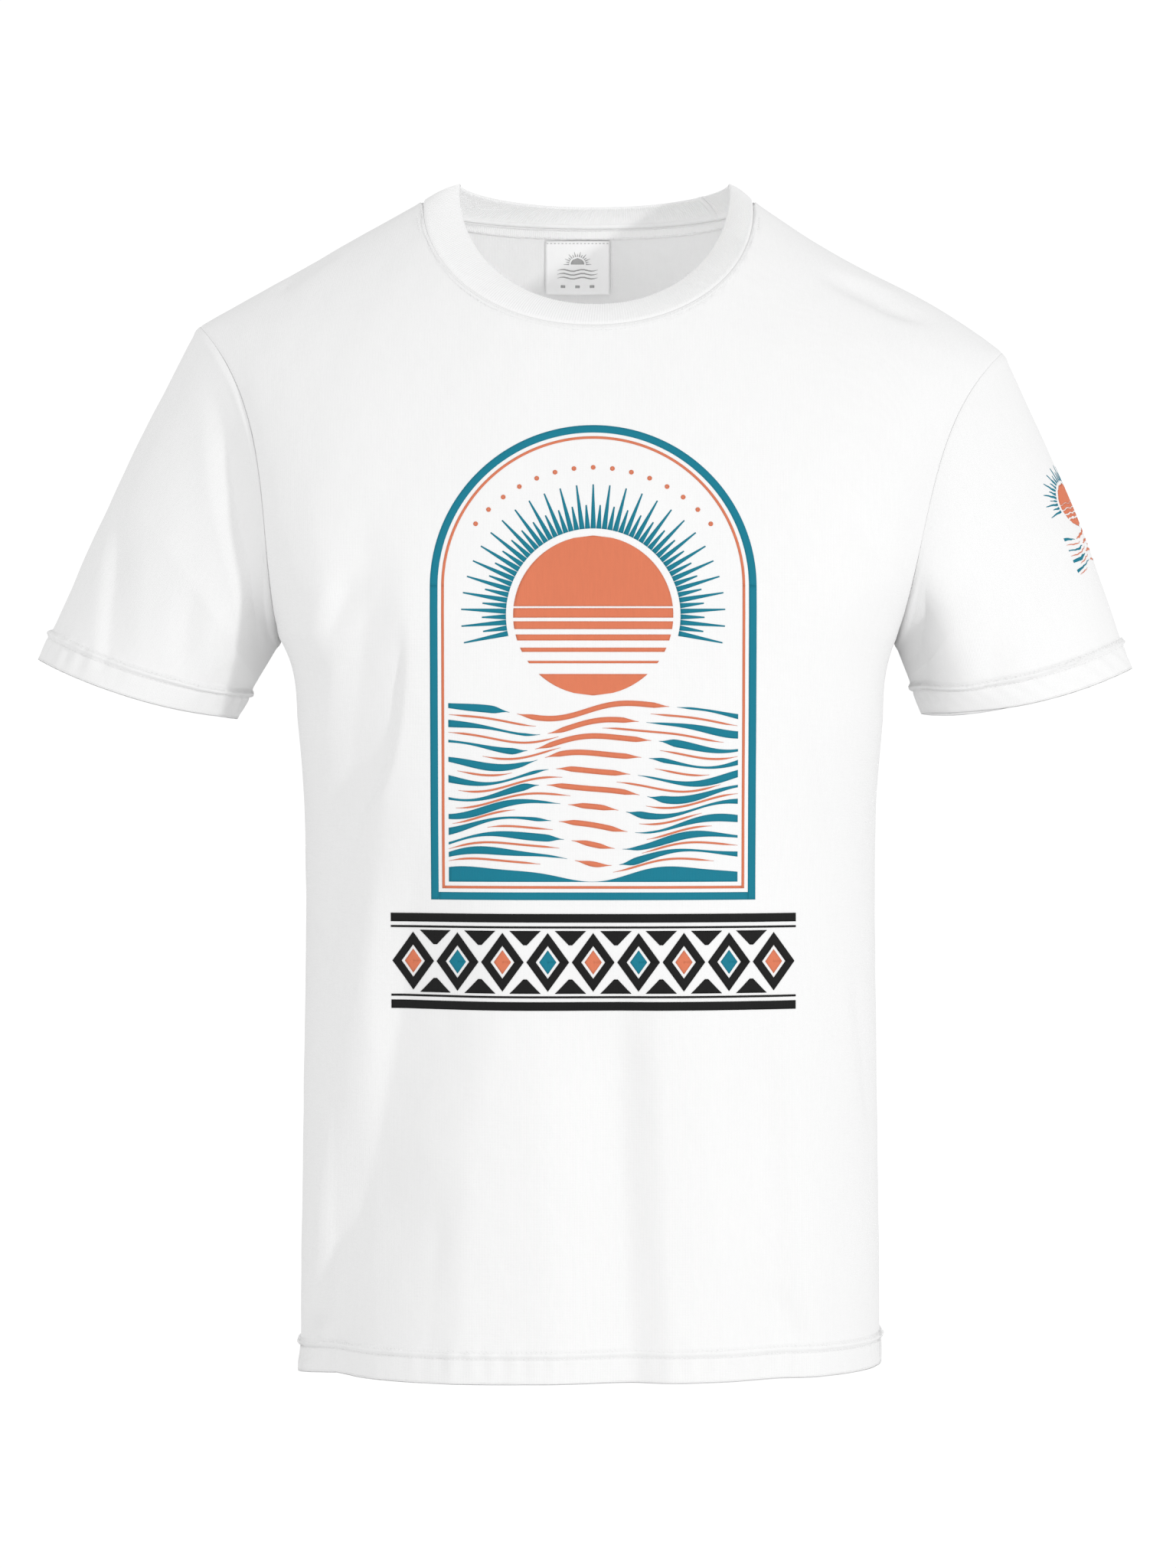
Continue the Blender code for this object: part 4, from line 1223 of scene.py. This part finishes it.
def make_shoulder_tape(side, front, back):
    """The tape that covers a shoulder seam inside, folded over the crest."""
    inside = np.flatnonzero(front.u * side.sign > NECK_SHARE + NECK_CORNER)[3:-3]
    mirror = len(front.u) - 1 - inside
    half = TAPE_WIDTH / 2
    rows = [near_top(front, inside, half * share, inner_lift()) for share in TAPE_ROWS]
    rows += [near_top(back, mirror, half * share, inner_lift()) for share in TAPE_ROWS[::-1]]
    grid = np.stack(rows, axis=1)[:, ::-1]
    return strip("shoulder_tape_" + side.name + "_cloth", grid, TAPE)


def side_seam_rows(surface):
    """The rows of a panel between the top of the hem and the armpit."""
    height = surface.rise[1]
    armpit = np.argmin(np.abs(surface.points[1, :, 2] - ARMPIT_Z))
    return np.arange(np.searchsorted(height, HEM_DEPTH + HEM_CLEAR), armpit - 1)


def make_side_allowance(side, back):
    """The overlocked allowance of a side seam, pressed against the back panel."""
    rows = side_seam_rows(back)
    last = side.sign < 0
    columns = [edge_columns(back, rows, distance, last) for distance in ALLOWANCE_STEPS]
    grid = np.stack([back.at(column, rows, np.full(len(rows), inner_lift())) for column in columns], axis=1)
    if last:
        grid = grid[:, ::-1]
    return strip("side_seam_" + side.name + "_allowance", grid, TAPE)


def make_armhole_allowance(side, sleeve):
    """The overlocked allowance of an armhole seam, turned into the sleeve."""
    columns = np.arange(0, SLEEVE_COLUMNS, 2)
    rows = [near_top(sleeve, columns, distance, inner_lift()) for distance in ALLOWANCE_STEPS]
    grid = np.stack(rows, axis=1)
    return thicken(grid_piece("armhole_allowance_" + side.name, grid, closed=True), TAPE)


# Threads

def path_piece(name, lines):
    """Open paths as one mesh of edges; each point keeps the direction across its path."""
    points, edges, sides = [], [], []
    for line, up in lines:
        first = len(points)
        along = np.gradient(line, axis=0)
        side = np.cross(up, along)
        side = side / np.linalg.norm(side, axis=-1, keepdims=True)
        points += line.tolist()
        sides += side.tolist()
        edges += [(first + i, first + i + 1) for i in range(len(line) - 1)]
    mesh = bpy.data.meshes.new(name)
    mesh.from_pydata(points, edges, [])
    store = mesh.attributes.new("side", "FLOAT_VECTOR", "POINT")
    store.data.foreach_set("vector", np.asarray(sides, dtype=np.float32).ravel())
    piece = bpy.data.objects.new(name, mesh)
    bpy.context.scene.collection.objects.link(piece)
    return piece


def ring(values):
    """The values of a closed line, with the first again at the end."""
    return np.concatenate([values, values[:1]])


def line_on(surface, columns, distance, lift, from_top=False, closed=False):
    """A path along a piece, this far from its first or last row, and the way up from the cloth."""
    rows = surface.row_from(columns, distance, from_top)
    line = surface.at(columns, rows, np.full(len(columns), lift))
    up = surface.up(columns, rows)
    return (ring(line), ring(up)) if closed else (line, up)


def sew(name, lines, group, material, length=STITCH, seed=1):
    """Rows of stitches along these paths."""
    piece = path_piece(name, lines)
    grow(piece, group, {"Stitch Length": length, "Gap": STITCH_GAP, "Thread Radius": THREAD_RADIUS,
                        "Unevenness": STITCH_UNEVENNESS, "Seed": seed, "Material": material})
    return dress(piece, material)


def loop(name, lines, group, material, half_width, pitch):
    """Looper threads along these paths."""
    piece = path_piece(name, lines)
    grow(piece, group, {"Pitch": pitch, "Half Width": half_width, "Thread Radius": LOOPER_RADIUS,
                        "Material": material})
    return dress(piece, material)


# Print.  A motif is a grid of points (across, up) in metres, measured from the print's foot.

def block(left, right, low, high):
    """The area between two heights, which may follow curves across it."""
    across = np.linspace(left, right, max(2, int(abs(right - left) / INK_STEP) + 2))
    foot = low(across) if callable(low) else np.full_like(across, low)
    head = high(across) if callable(high) else np.full_like(across, high)
    rows = max(2, int(np.max(np.abs(head - foot)) / INK_STEP) + 2)
    share = np.linspace(0, 1, rows)
    up = foot[:, None] + (head - foot)[:, None] * share
    return np.stack([np.repeat(across[:, None], rows, 1), up], axis=-1)


def sector(centre, inner, outer, start=0.0, end=2 * math.pi):
    """A ring, or a part of one, between two radii."""
    turns = max(10, int((end - start) * outer / INK_STEP))
    angle = np.linspace(start, end, turns)[::-1]
    radius = np.linspace(inner, outer, max(2, int((outer - inner) / INK_STEP) + 2))
    angle, radius = np.meshgrid(angle, radius, indexing="ij")
    return np.stack([centre[0] + radius * np.cos(angle), centre[1] + radius * np.sin(angle)], axis=-1)


def ray(centre, angle, inner, outer, foot, tip):
    """A tapering stroke that points away from a centre."""
    out = np.linspace(inner, outer, max(3, int((outer - inner) / INK_STEP) + 2))
    width = np.linspace(foot, tip, len(out)) / 2
    direction = np.array([math.cos(angle), math.sin(angle)])
    across = np.array([-direction[1], direction[0]])
    edges = [centre + out[:, None] * direction + (width * side)[:, None] * across for side in (-1, 0, 1)]
    return np.stack(edges, axis=0)[::-1]


def slice_of_disc(centre, radius, low, high):
    """The part of a disc between two heights, measured from its centre."""
    rows = max(3, int((high - low) / INK_STEP * 1.6) + 2)
    height = np.linspace(low, high, rows)
    reach = np.sqrt(np.maximum(radius**2 - height**2, 1e-9))
    across = np.linspace(-1, 1, max(6, int(2 * radius / INK_STEP)))
    up = np.repeat(height[None], len(across), 0)
    return np.stack([centre[0] + across[:, None] * reach, centre[1] + up], axis=-1)


def diamond(centre, half_width, half_height, hole=0.0):
    """A diamond, or its frame where it has a hole of that share."""
    corners = np.array([[1, 0], [0, 1], [-1, 0], [0, -1], [1, 0]]) * (half_width, half_height)
    steps = np.linspace(0, 4, 4 * max(2, int(half_height / INK_STEP)) + 1)
    edge = np.stack([np.interp(steps, range(5), corners[:, k]) for k in (0, 1)], axis=-1)[::-1]
    share = np.linspace(max(hole, LEAST_HOLE), 1, 4)
    return np.array(centre) + edge[:, None] * share[:, None]


def stroke(line, left, right, thickness, tips):
    """A brush stroke along a curve.  tips: how long it thins out at its left and its right end."""
    def half(across):
        thin = soften((across - left) / tips[0]) if tips[0] else 1.0
        thin = thin * (soften((right - across) / tips[1]) if tips[1] else 1.0)
        return thickness(across) * thin / 2 + LEAST_STROKE
    return block(left, right, lambda a: line(a) - half(a), lambda a: line(a) + half(a))


def triangle(x, base, half, tip):
    """A triangle on a level base; a tip below the base points down."""
    def slope(across):
        return base + (tip - base) * np.clip(1 - np.abs(across - x) / half, LEAST_SLOPE, 1)

    low, high = (slope, base) if tip < base else (base, slope)
    return block(x - half, x + half, low, high)


def wave_line(kind, k):
    """The height of one line of water across the picture; k counts the lines downwards."""
    def line(across):
        turn = 2 * math.pi * across / (WAVE_LENGTH * kind.size) + WAVE_SHIFT * k
        rolling = np.sin(turn) + 0.28 * np.sin(2 * turn + 0.6)
        return kind.top - kind.pitch * k + WAVE_HEIGHT * kind.size * rolling
    return line


def even(thickness):
    """A stroke of the same thickness all along."""
    return lambda across: np.full_like(across, thickness)


def sea(kind):
    """Rolling lines of water, the sun's light on them, and the line below the last."""
    water, light = [], []
    size, edge = kind.size, kind.edge
    gap, tip = WATER_GAP * size, WATER_TIP * size
    for k in range(kind.lines):
        line = wave_line(kind, k)
        below = wave_line(kind, k + 1)

        def swelling(across, k=k):
            return size * (0.0027 + 0.0016 * np.sin(across / (0.0132 * size) + 2.1 * k))

        def half_way(across, line=line, below=below):
            return (line(across) + below(across)) / 2

        shine = kind.glitter * (1 - 0.72 * k / kind.lines) * (1 + 0.22 * math.cos(2.6 * k))
        water.append(stroke(line, -edge, -shine - gap, swelling, (0, tip)))
        water.append(stroke(line, shine + gap, edge, swelling, (tip, 0)))
        light.append(stroke(line, -shine + gap, shine - gap, even(BROAD_LIGHT * size), (tip, tip)))
        reach = edge * (0.30 + 0.12 * math.sin(1.7 * k))
        for side in (-1, 1):
            middle = side * edge * (0.62 + 0.14 * math.cos(2.3 * k + side))
            ends = max(middle - reach, -edge), min(middle + reach, edge)
            light.append(stroke(half_way, *ends, even(FINE_LIGHT * size), (tip, tip)))
    return water, light, wave_line(kind, kind.lines)


def sun(centre, radius, slits):
    """A disc whose lower half is cut by slits that widen downwards."""
    parts = []
    high = radius * NEAR_EDGE
    for i in range(slits):
        middle = radius * (0.10 - 0.92 * i / slits)
        half = radius * (0.012 + 0.011 * i)
        parts.append(slice_of_disc(centre, radius, middle + half, high))
        high = middle - half
    parts.append(slice_of_disc(centre, radius, -radius * NEAR_EDGE, high))
    return parts


def rays(kind):
    """Strokes round a sun, long and short by turns."""
    centre = (0.0, kind.height)
    angles = np.linspace(math.radians(kind.start), math.radians(kind.end), kind.rays)
    tip = kind.foot * RAY_TIP
    return [ray(centre, angle, kind.inner, kind.short if i % 2 else kind.long, kind.foot, tip)
            for i, angle in enumerate(angles)]


def border(half_length, low, high):
    """A band of diamonds and triangles between two pairs of bars, and apart from it the diamonds' cores."""
    black, cores = [], []
    edges = ((low, 1), (high, -1))
    for edge, inward in edges:
        for start, end in BORDER_BARS:
            bar = sorted((edge + inward * start, edge + inward * end))
            black.append(block(-half_length, half_length, *bar))
    middle = (low + high) / 2
    pitch = 2 * half_length / DIAMONDS
    for i in range(DIAMONDS):
        x = pitch * (i + 0.5) - half_length
        black.append(diamond((x, middle), pitch * DIAMOND[0], DIAMOND[1], DIAMOND_HOLE))
        cores.append(diamond((x, middle), pitch * DIAMOND_CORE[0], DIAMOND_CORE[1]))
    half, base, tip = TRIANGLE
    for i in range(1, DIAMONDS):
        x = pitch * i - half_length
        for edge, inward in edges:
            black.append(triangle(x, edge + inward * base, pitch * half, edge + inward * tip))
    return black, cores


def arch(inset, width):
    """A frame with a round head, this far inside the arch's outer edge."""
    out = ARCH_HALF_WIDTH - inset
    sill = ARCH_FOOT + inset
    return [sector((0.0, ARCH_SPRING), out - width, out, 0, math.pi),
            block(-out, -out + width, sill, ARCH_SPRING),
            block(out - width, out, sill, ARCH_SPRING),
            block(-out + width, out - width, sill, sill + width)]


def front_print():
    """A striped sun over a rolling sea in an arched frame, on a border of diamonds."""
    inks = {"teal": [], "coral": [], "black": []}
    for inset, width, name in ARCH_LINES:
        inks[name] += arch(inset, width)

    middle = (0.0, CHEST_SUN.height)
    inks["coral"] += sun(middle, CHEST_SUN.radius, CHEST_SUN.slits)
    inks["teal"] += rays(CHEST_SUN)
    count, away, radius, start, end = SPOTS
    for angle in np.radians(np.linspace(start, end, count)):
        spot = (middle[0] + away * math.cos(angle), middle[1] + away * math.sin(angle))
        inks["coral"].append(sector(spot, SPOT_HOLE, radius))

    water, light, last = sea(CHEST_SEA)
    inks["teal"] += water
    inks["coral"] += light
    inks["teal"].append(block(-CHEST_SEA.edge, CHEST_SEA.edge, ARCH_FOOT + ARCH_INSIDE, last))

    inks["black"], cores = border(BORDER_HALF_LENGTH, 0.0, ARCH_FOOT - BORDER_GAP)
    inks["teal"] += cores[1::2]
    inks["coral"] += cores[::2]
    return inks


def sleeve_print():
    """A small sun over a few lines of water."""
    disc = sun((0.0, SLEEVE_SUN.height), SLEEVE_SUN.radius, SLEEVE_SUN.slits)
    water, light, _ = sea(SLEEVE_SEA)
    return {"teal": rays(SLEEVE_SUN) + water, "coral": disc + light}


def ink_piece(name, motifs, place, lift, material, slot):
    """Motifs laid on the cloth as one thin skin of ink.  place gives a point and a normal."""
    points, faces = [], []
    for motif in motifs:
        columns, rows = motif.shape[:2]
        first = len(points)
        for across, up in motif.reshape(-1, 2):
            point, normal = place(across, up)
            points.append(point + normal * lift)
        for i in range(columns - 1):
            for j in range(rows - 1):
                a = first + i * rows + j
                faces.append((a, a + rows, a + rows + 1, a + 1))
    piece = mesh_piece(name, [tuple(p) for p in points], faces,
                       np.concatenate([m.reshape(-1, 2) for m in motifs]))
    thicken(piece, INK)
    return dress(piece, material)


def on_front(surface, foot_x, foot_z):
    """Lays the print on the chest, seen square from the front."""
    columns, rows = surface.points.shape[:2]
    faces = [(i * rows + j, (i + 1) * rows + j, (i + 1) * rows + j + 1, i * rows + j + 1)
             for i in range(columns - 1) for j in range(rows - 1)]
    tree = BVHTree.FromPolygons(surface.points.reshape(-1, 3).tolist(), faces)

    def place(across, up):
        hit = tree.ray_cast(Vector((foot_x + across, -1, foot_z + up)), Vector((0, 1, 0)))
        return hit[0], (hit[1] if hit[1].y < 0 else -hit[1])
    return place


def on_sleeve(surface, around, height):
    """Lays the print on a sleeve, along the cloth, from a point this high above the cuff."""
    columns = len(surface.around)
    centre = (-around) % 1 * columns
    row = float(surface.row_from(np.array([centre]), height + SLEEVE_PRINT_MIDDLE)[0])
    i = int(round(centre)) % columns
    step = np.linalg.norm(surface.points[i, int(row)] - surface.points[(i + 1) % columns, int(row)])

    def place(across, up):
        column = centre + across / step
        level = surface.row_from(np.array([column]), height + up)[0]
        return (Vector(surface.at(column, level)), Vector(surface.up(column, level)))
    return place


# Label

def label_motifs():
    """Half a sun over three lines of water and a row of blocks."""
    motifs = rays(LABEL_SUN)
    motifs.append(slice_of_disc((0.0, LABEL_SUN.height), LABEL_SUN.radius, 0.0, LABEL_HALF_DISC))
    count, height, pitch, half_length, thickness = LABEL_LINES
    for k in range(count):
        def line(across, level=height - pitch * k):
            high, length = LABEL_LINE_WAVE
            return level + high * np.sin(across / length)
        motifs.append(stroke(line, -half_length, half_length, even(thickness), LABEL_LINE_TIPS))
    places, half, low, high = LABEL_BLOCKS
    return motifs + [block(x - half, x + half, low, high) for x in places]


def make_label(satin, thread, stitches):
    """A woven label, hanging inside the back from its top edge, with a generic woven device."""
    columns, rows = LABEL_GRID
    across = np.linspace(0.5, -0.5, columns)
    down = np.linspace(1, 0, rows)
    x = LABEL_CENTRE_X + LABEL_WIDTH * across[:, None] + 0 * down
    z = LABEL_TOP_Z - LABEL_DROP * down + 0 * x
    y = depth("back", np.full_like(x, LABEL_CENTRE_X), z)
    high, turn = LABEL_CURL
    curl = high * np.cos(across * turn)[:, None] * down
    lift = CLOTH + 2 * LINING_GAP + TAPE + LABEL_GAP + LABEL_HANG * down**2 + curl
    grid = np.stack([x, y, z], axis=-1)
    grid = grid - grid_normals(grid, False) * lift[..., None]
    face = Surface(grid)
    label = dress(thicken(grid_piece("woven_label", grid[::-1]), LABEL), satin, ["neck_label"])

    def place(a, b):
        column = (0.5 - a / LABEL_WIDTH) * (columns - 1)
        row = b / LABEL_HEIGHT * (rows - 1)
        return Vector(face.at(column, row)), -Vector(face.up(column, row))
    ink_piece("label_weave", label_motifs(), place, LABEL_WEAVE_LIFT, thread, "thread")

    sewn = np.linspace(LABEL_SEAM_ENDS, columns - 1 - LABEL_SEAM_ENDS, LABEL_SEAM_POINTS)
    level = np.full(len(sewn), rows - LABEL_SEAM_DOWN)
    up = face.up(sewn, level)
    sew("label_stitches", [(face.at(sewn, level) - up * LABEL_STITCH_LIFT, up)], stitches, thread,
        length=LABEL_STITCH, seed=5)
    return label


# Studio

def camera():
    """A camera straight in front, level with the middle of the shirt."""
    data = bpy.data.cameras.new("camera")
    data.sensor_width = SENSOR
    data.lens = SENSOR / (VIEW_HEIGHT * METRES_PER_PIXEL / CAMERA_DISTANCE)
    seen = bpy.data.objects.new("camera", data)
    seen.location = (0, -CAMERA_DISTANCE, CAMERA_Z)
    seen.rotation_euler = (math.pi / 2, 0, 0)
    bpy.context.scene.collection.objects.link(seen)
    bpy.context.scene.camera = seen


def area_light(name, place, aim, size, power):
    """A round white light, unseen by the camera."""
    data = bpy.data.lights.new(name, "AREA")
    data.shape = "DISK"
    data.size = size
    data.energy = power
    light = bpy.data.objects.new(name, data)
    light.location = place
    light.visible_camera = False
    light.rotation_mode = "QUATERNION"
    light.rotation_quaternion = (Vector(aim) - Vector(place)).to_track_quat("-Z", "Y")
    bpy.context.scene.collection.objects.link(light)


def studio():
    """A white surround, a key light in front on the right, a soft one on the left, a small glow inside
    the shirt, and a pale floor."""
    scene = bpy.context.scene
    scene.view_settings.view_transform = "Standard"
    world = bpy.data.worlds.new("studio")
    world.use_nodes = True
    scene.world = world
    tree = Tree(world.node_tree)
    world.node_tree.nodes.clear()
    seen = tree.add("ShaderNodeLightPath", output="Is Camera Ray")
    surround, backdrop = (tree.add("ShaderNodeBackground", sockets={"Color": WHITE, "Strength": strength})
                          for strength in (SURROUND_LIGHT, BACKDROP_LIGHT))
    mixed = tree.add("ShaderNodeMixShader", sockets={0: seen, 1: surround, 2: backdrop})
    tree.add("ShaderNodeOutputWorld", sockets={"Surface": mixed})

    area_light("glow_inside", GLOW_PLACE, (0, 0, 0), GLOW_SIZE, GLOW_POWER)
    for name, start, size, power in (("key", KEY_FROM, KEY_SIZE, KEY_POWER),
                                     ("soft_fill", FILL_FROM, FILL_SIZE, FILL_POWER)):
        area_light(name, LIGHT_AIM + Vector(start).normalized() * LIGHT_DISTANCE, LIGHT_AIM, size, power)

    bpy.ops.mesh.primitive_plane_add(size=FLOOR_SIZE, location=(0, 0, 0))
    floor = bpy.context.object
    floor.name = "studio_floor"
    floor.data.transform(Matrix.Translation((0, 0, FLOOR_Z)))
    paint = bpy.data.materials.new("floor_paint")
    paint.use_nodes = True
    shader = paint.node_tree.nodes["Principled BSDF"]
    shader.inputs["Base Color"].default_value = (FLOOR_GREY, FLOOR_GREY, FLOOR_GREY, 1)
    shader.inputs["Roughness"].default_value = FLOOR_ROUGHNESS
    floor.data.materials.append(paint)


# The shirt

def sew_pieces(front, back, sleeves, finishes):
    """The body and the sleeves, by name, and the collar."""
    jersey = finishes["white_jersey"]
    cloths = {}
    for name, surface in (("front", front), ("back", back)):
        cloth = sewn_piece(name + "_cloth", surface)
        cloths[name] = dress(cloth, jersey, [name + "_panel", "hem_turning"])
    for side, surface in sleeves.items():
        cloth = sewn_piece("sleeve_cloth_" + side.name, surface)
        replaced = ["sleeve_" + side.name, "cuff_turning_" + side.name]
        cloths[side.name] = dress(cloth, jersey, replaced)
    return cloths, make_collar(collar_surface(), finishes["white_rib"])


def line_inside(front, back, sleeves, finishes):
    """Tapes and seam allowances."""
    jersey, twill = finishes["white_jersey"], finishes["white_twill"]
    neck_tape = make_neck_lining("neck_tape_cloth", back, TAPE_WIDTH, NECK_TAPE_CROWN)
    tapes = [dress(neck_tape, twill, ["neck_tape"]),
             dress(make_neck_lining("neck_allowance", front, NECK_ALLOWANCE), jersey)]
    for side, sleeve in sleeves.items():
        shoulder_tape = make_shoulder_tape(side, front, back)
        tapes.append(dress(shoulder_tape, twill, ["shoulder_tape_" + side.name]))
        tapes.append(dress(make_side_allowance(side, back), jersey, ["side_seam_" + side.name]))
        tapes.append(dress(make_armhole_allowance(side, sleeve), jersey))
    return tapes


def sew_outside(front, back, sleeves, thread, stitches):
    """The needle threads of the hems and of the neckline."""
    hems = [(panel, np.arange(2, len(panel.u) - 2)) for panel in (front, back)]
    around = np.arange(SLEEVE_COLUMNS)
    hem_lines = [line_on(panel, columns, row, STITCH_LIFT) for panel, columns in hems for row in HEM_NEEDLES]
    cuff_lines = [line_on(sleeve, around, row, STITCH_LIFT, closed=True) for sleeve in sleeves.values()
                  for row in HEM_NEEDLES]
    neck_lines = [line_on(panel, panel.in_neck[4:-4], row, STITCH_LIFT, from_top=True)
                  for panel in (front, back) for row in NECK_NEEDLES]
    return [sew("hem_stitches", hem_lines, stitches, thread),
            sew("cuff_stitches", cuff_lines, stitches, thread, seed=2),
            sew("neckline_stitches", neck_lines, stitches, thread, seed=3)]


def sew_inside(front, back, sleeves, thread, stitches):
    """The threads that show inside: hem loopers, neck tape stitches and overlocked edges."""
    looper = looper_tree()
    around = np.arange(SLEEVE_COLUMNS)
    inside = -(2 * HEM_FOLD + UNDER_TAPE)
    middle = sum(HEM_NEEDLES) / 2
    hems = [line_on(panel, np.arange(2, len(panel.u) - 2), middle, inside) for panel in (front, back)]
    hems += [line_on(sleeve, around, middle, inside, closed=True) for sleeve in sleeves.values()]
    threads = [loop("hem_looper_threads", hems, looper, thread, *HEM_LOOPER)]

    under = inner_lift(UNDER_TAPE)
    tape_lines = [line_on(back, back.in_neck[1:-1], distance, under - STITCH_LIFT, from_top=True)
                  for distance in NECK_TAPE_NEEDLES]
    threads.append(sew("neck_tape_stitches", tape_lines, stitches, thread, seed=4))

    overlock = [line_on(front, front.in_neck[1:-1], NECK_OVERLOCK_IN, under, from_top=True)]
    overlock += [line_on(sleeve, around, OVERLOCK_IN, under, from_top=True, closed=True)
                 for sleeve in sleeves.values()]
    rows = side_seam_rows(back)
    for last in (False, True):
        columns = edge_columns(back, rows, OVERLOCK_IN, last)
        overlock.append((back.at(columns, rows, np.full(len(rows), under)), back.up(columns, rows)))
    threads.append(loop("overlock_threads", overlock, looper, thread, *OVERLOCK))
    return threads


def print_pictures(front, sleeve, finishes):
    """The ink on the chest and on the left sleeve."""
    pictures = (("chest", front_print(), on_front(front, *PRINT_FOOT)),
                ("sleeve", sleeve_print(), on_sleeve(sleeve, SLEEVE_PRINT_AROUND, SLEEVE_PRINT_FOOT)))
    return [ink_piece(part + "_print_" + name, motifs, place, INK_LIFT[name], finishes["ink_" + name],
                      "print_" + name)
            for part, inks, place in pictures for name, motifs in inks.items()]


def main():
    camera()
    studio()
    finishes = {name: cloth_material(name, finish) for name, finish in FINISHES.items()}
    front = panel_surface("front")
    back = panel_surface("back")
    sleeves = {side: sleeve_surface(side) for side in (LEFT, RIGHT)}
    cloths, collar = sew_pieces(front, back, sleeves, finishes)
    tapes = line_inside(front, back, sleeves, finishes)
    thread = finishes["white_thread"]
    stitches = stitch_tree()
    threads = sew_outside(front, back, sleeves, thread, stitches)
    threads += sew_inside(front, back, sleeves, thread, stitches)
    label = make_label(finishes["label_satin"], finishes["woven_grey_thread"], stitches)
    prints = print_pictures(front, sleeves[LEFT], finishes)

    sewn_on = {"front": prints, "back": tapes + threads + [label]}


main()
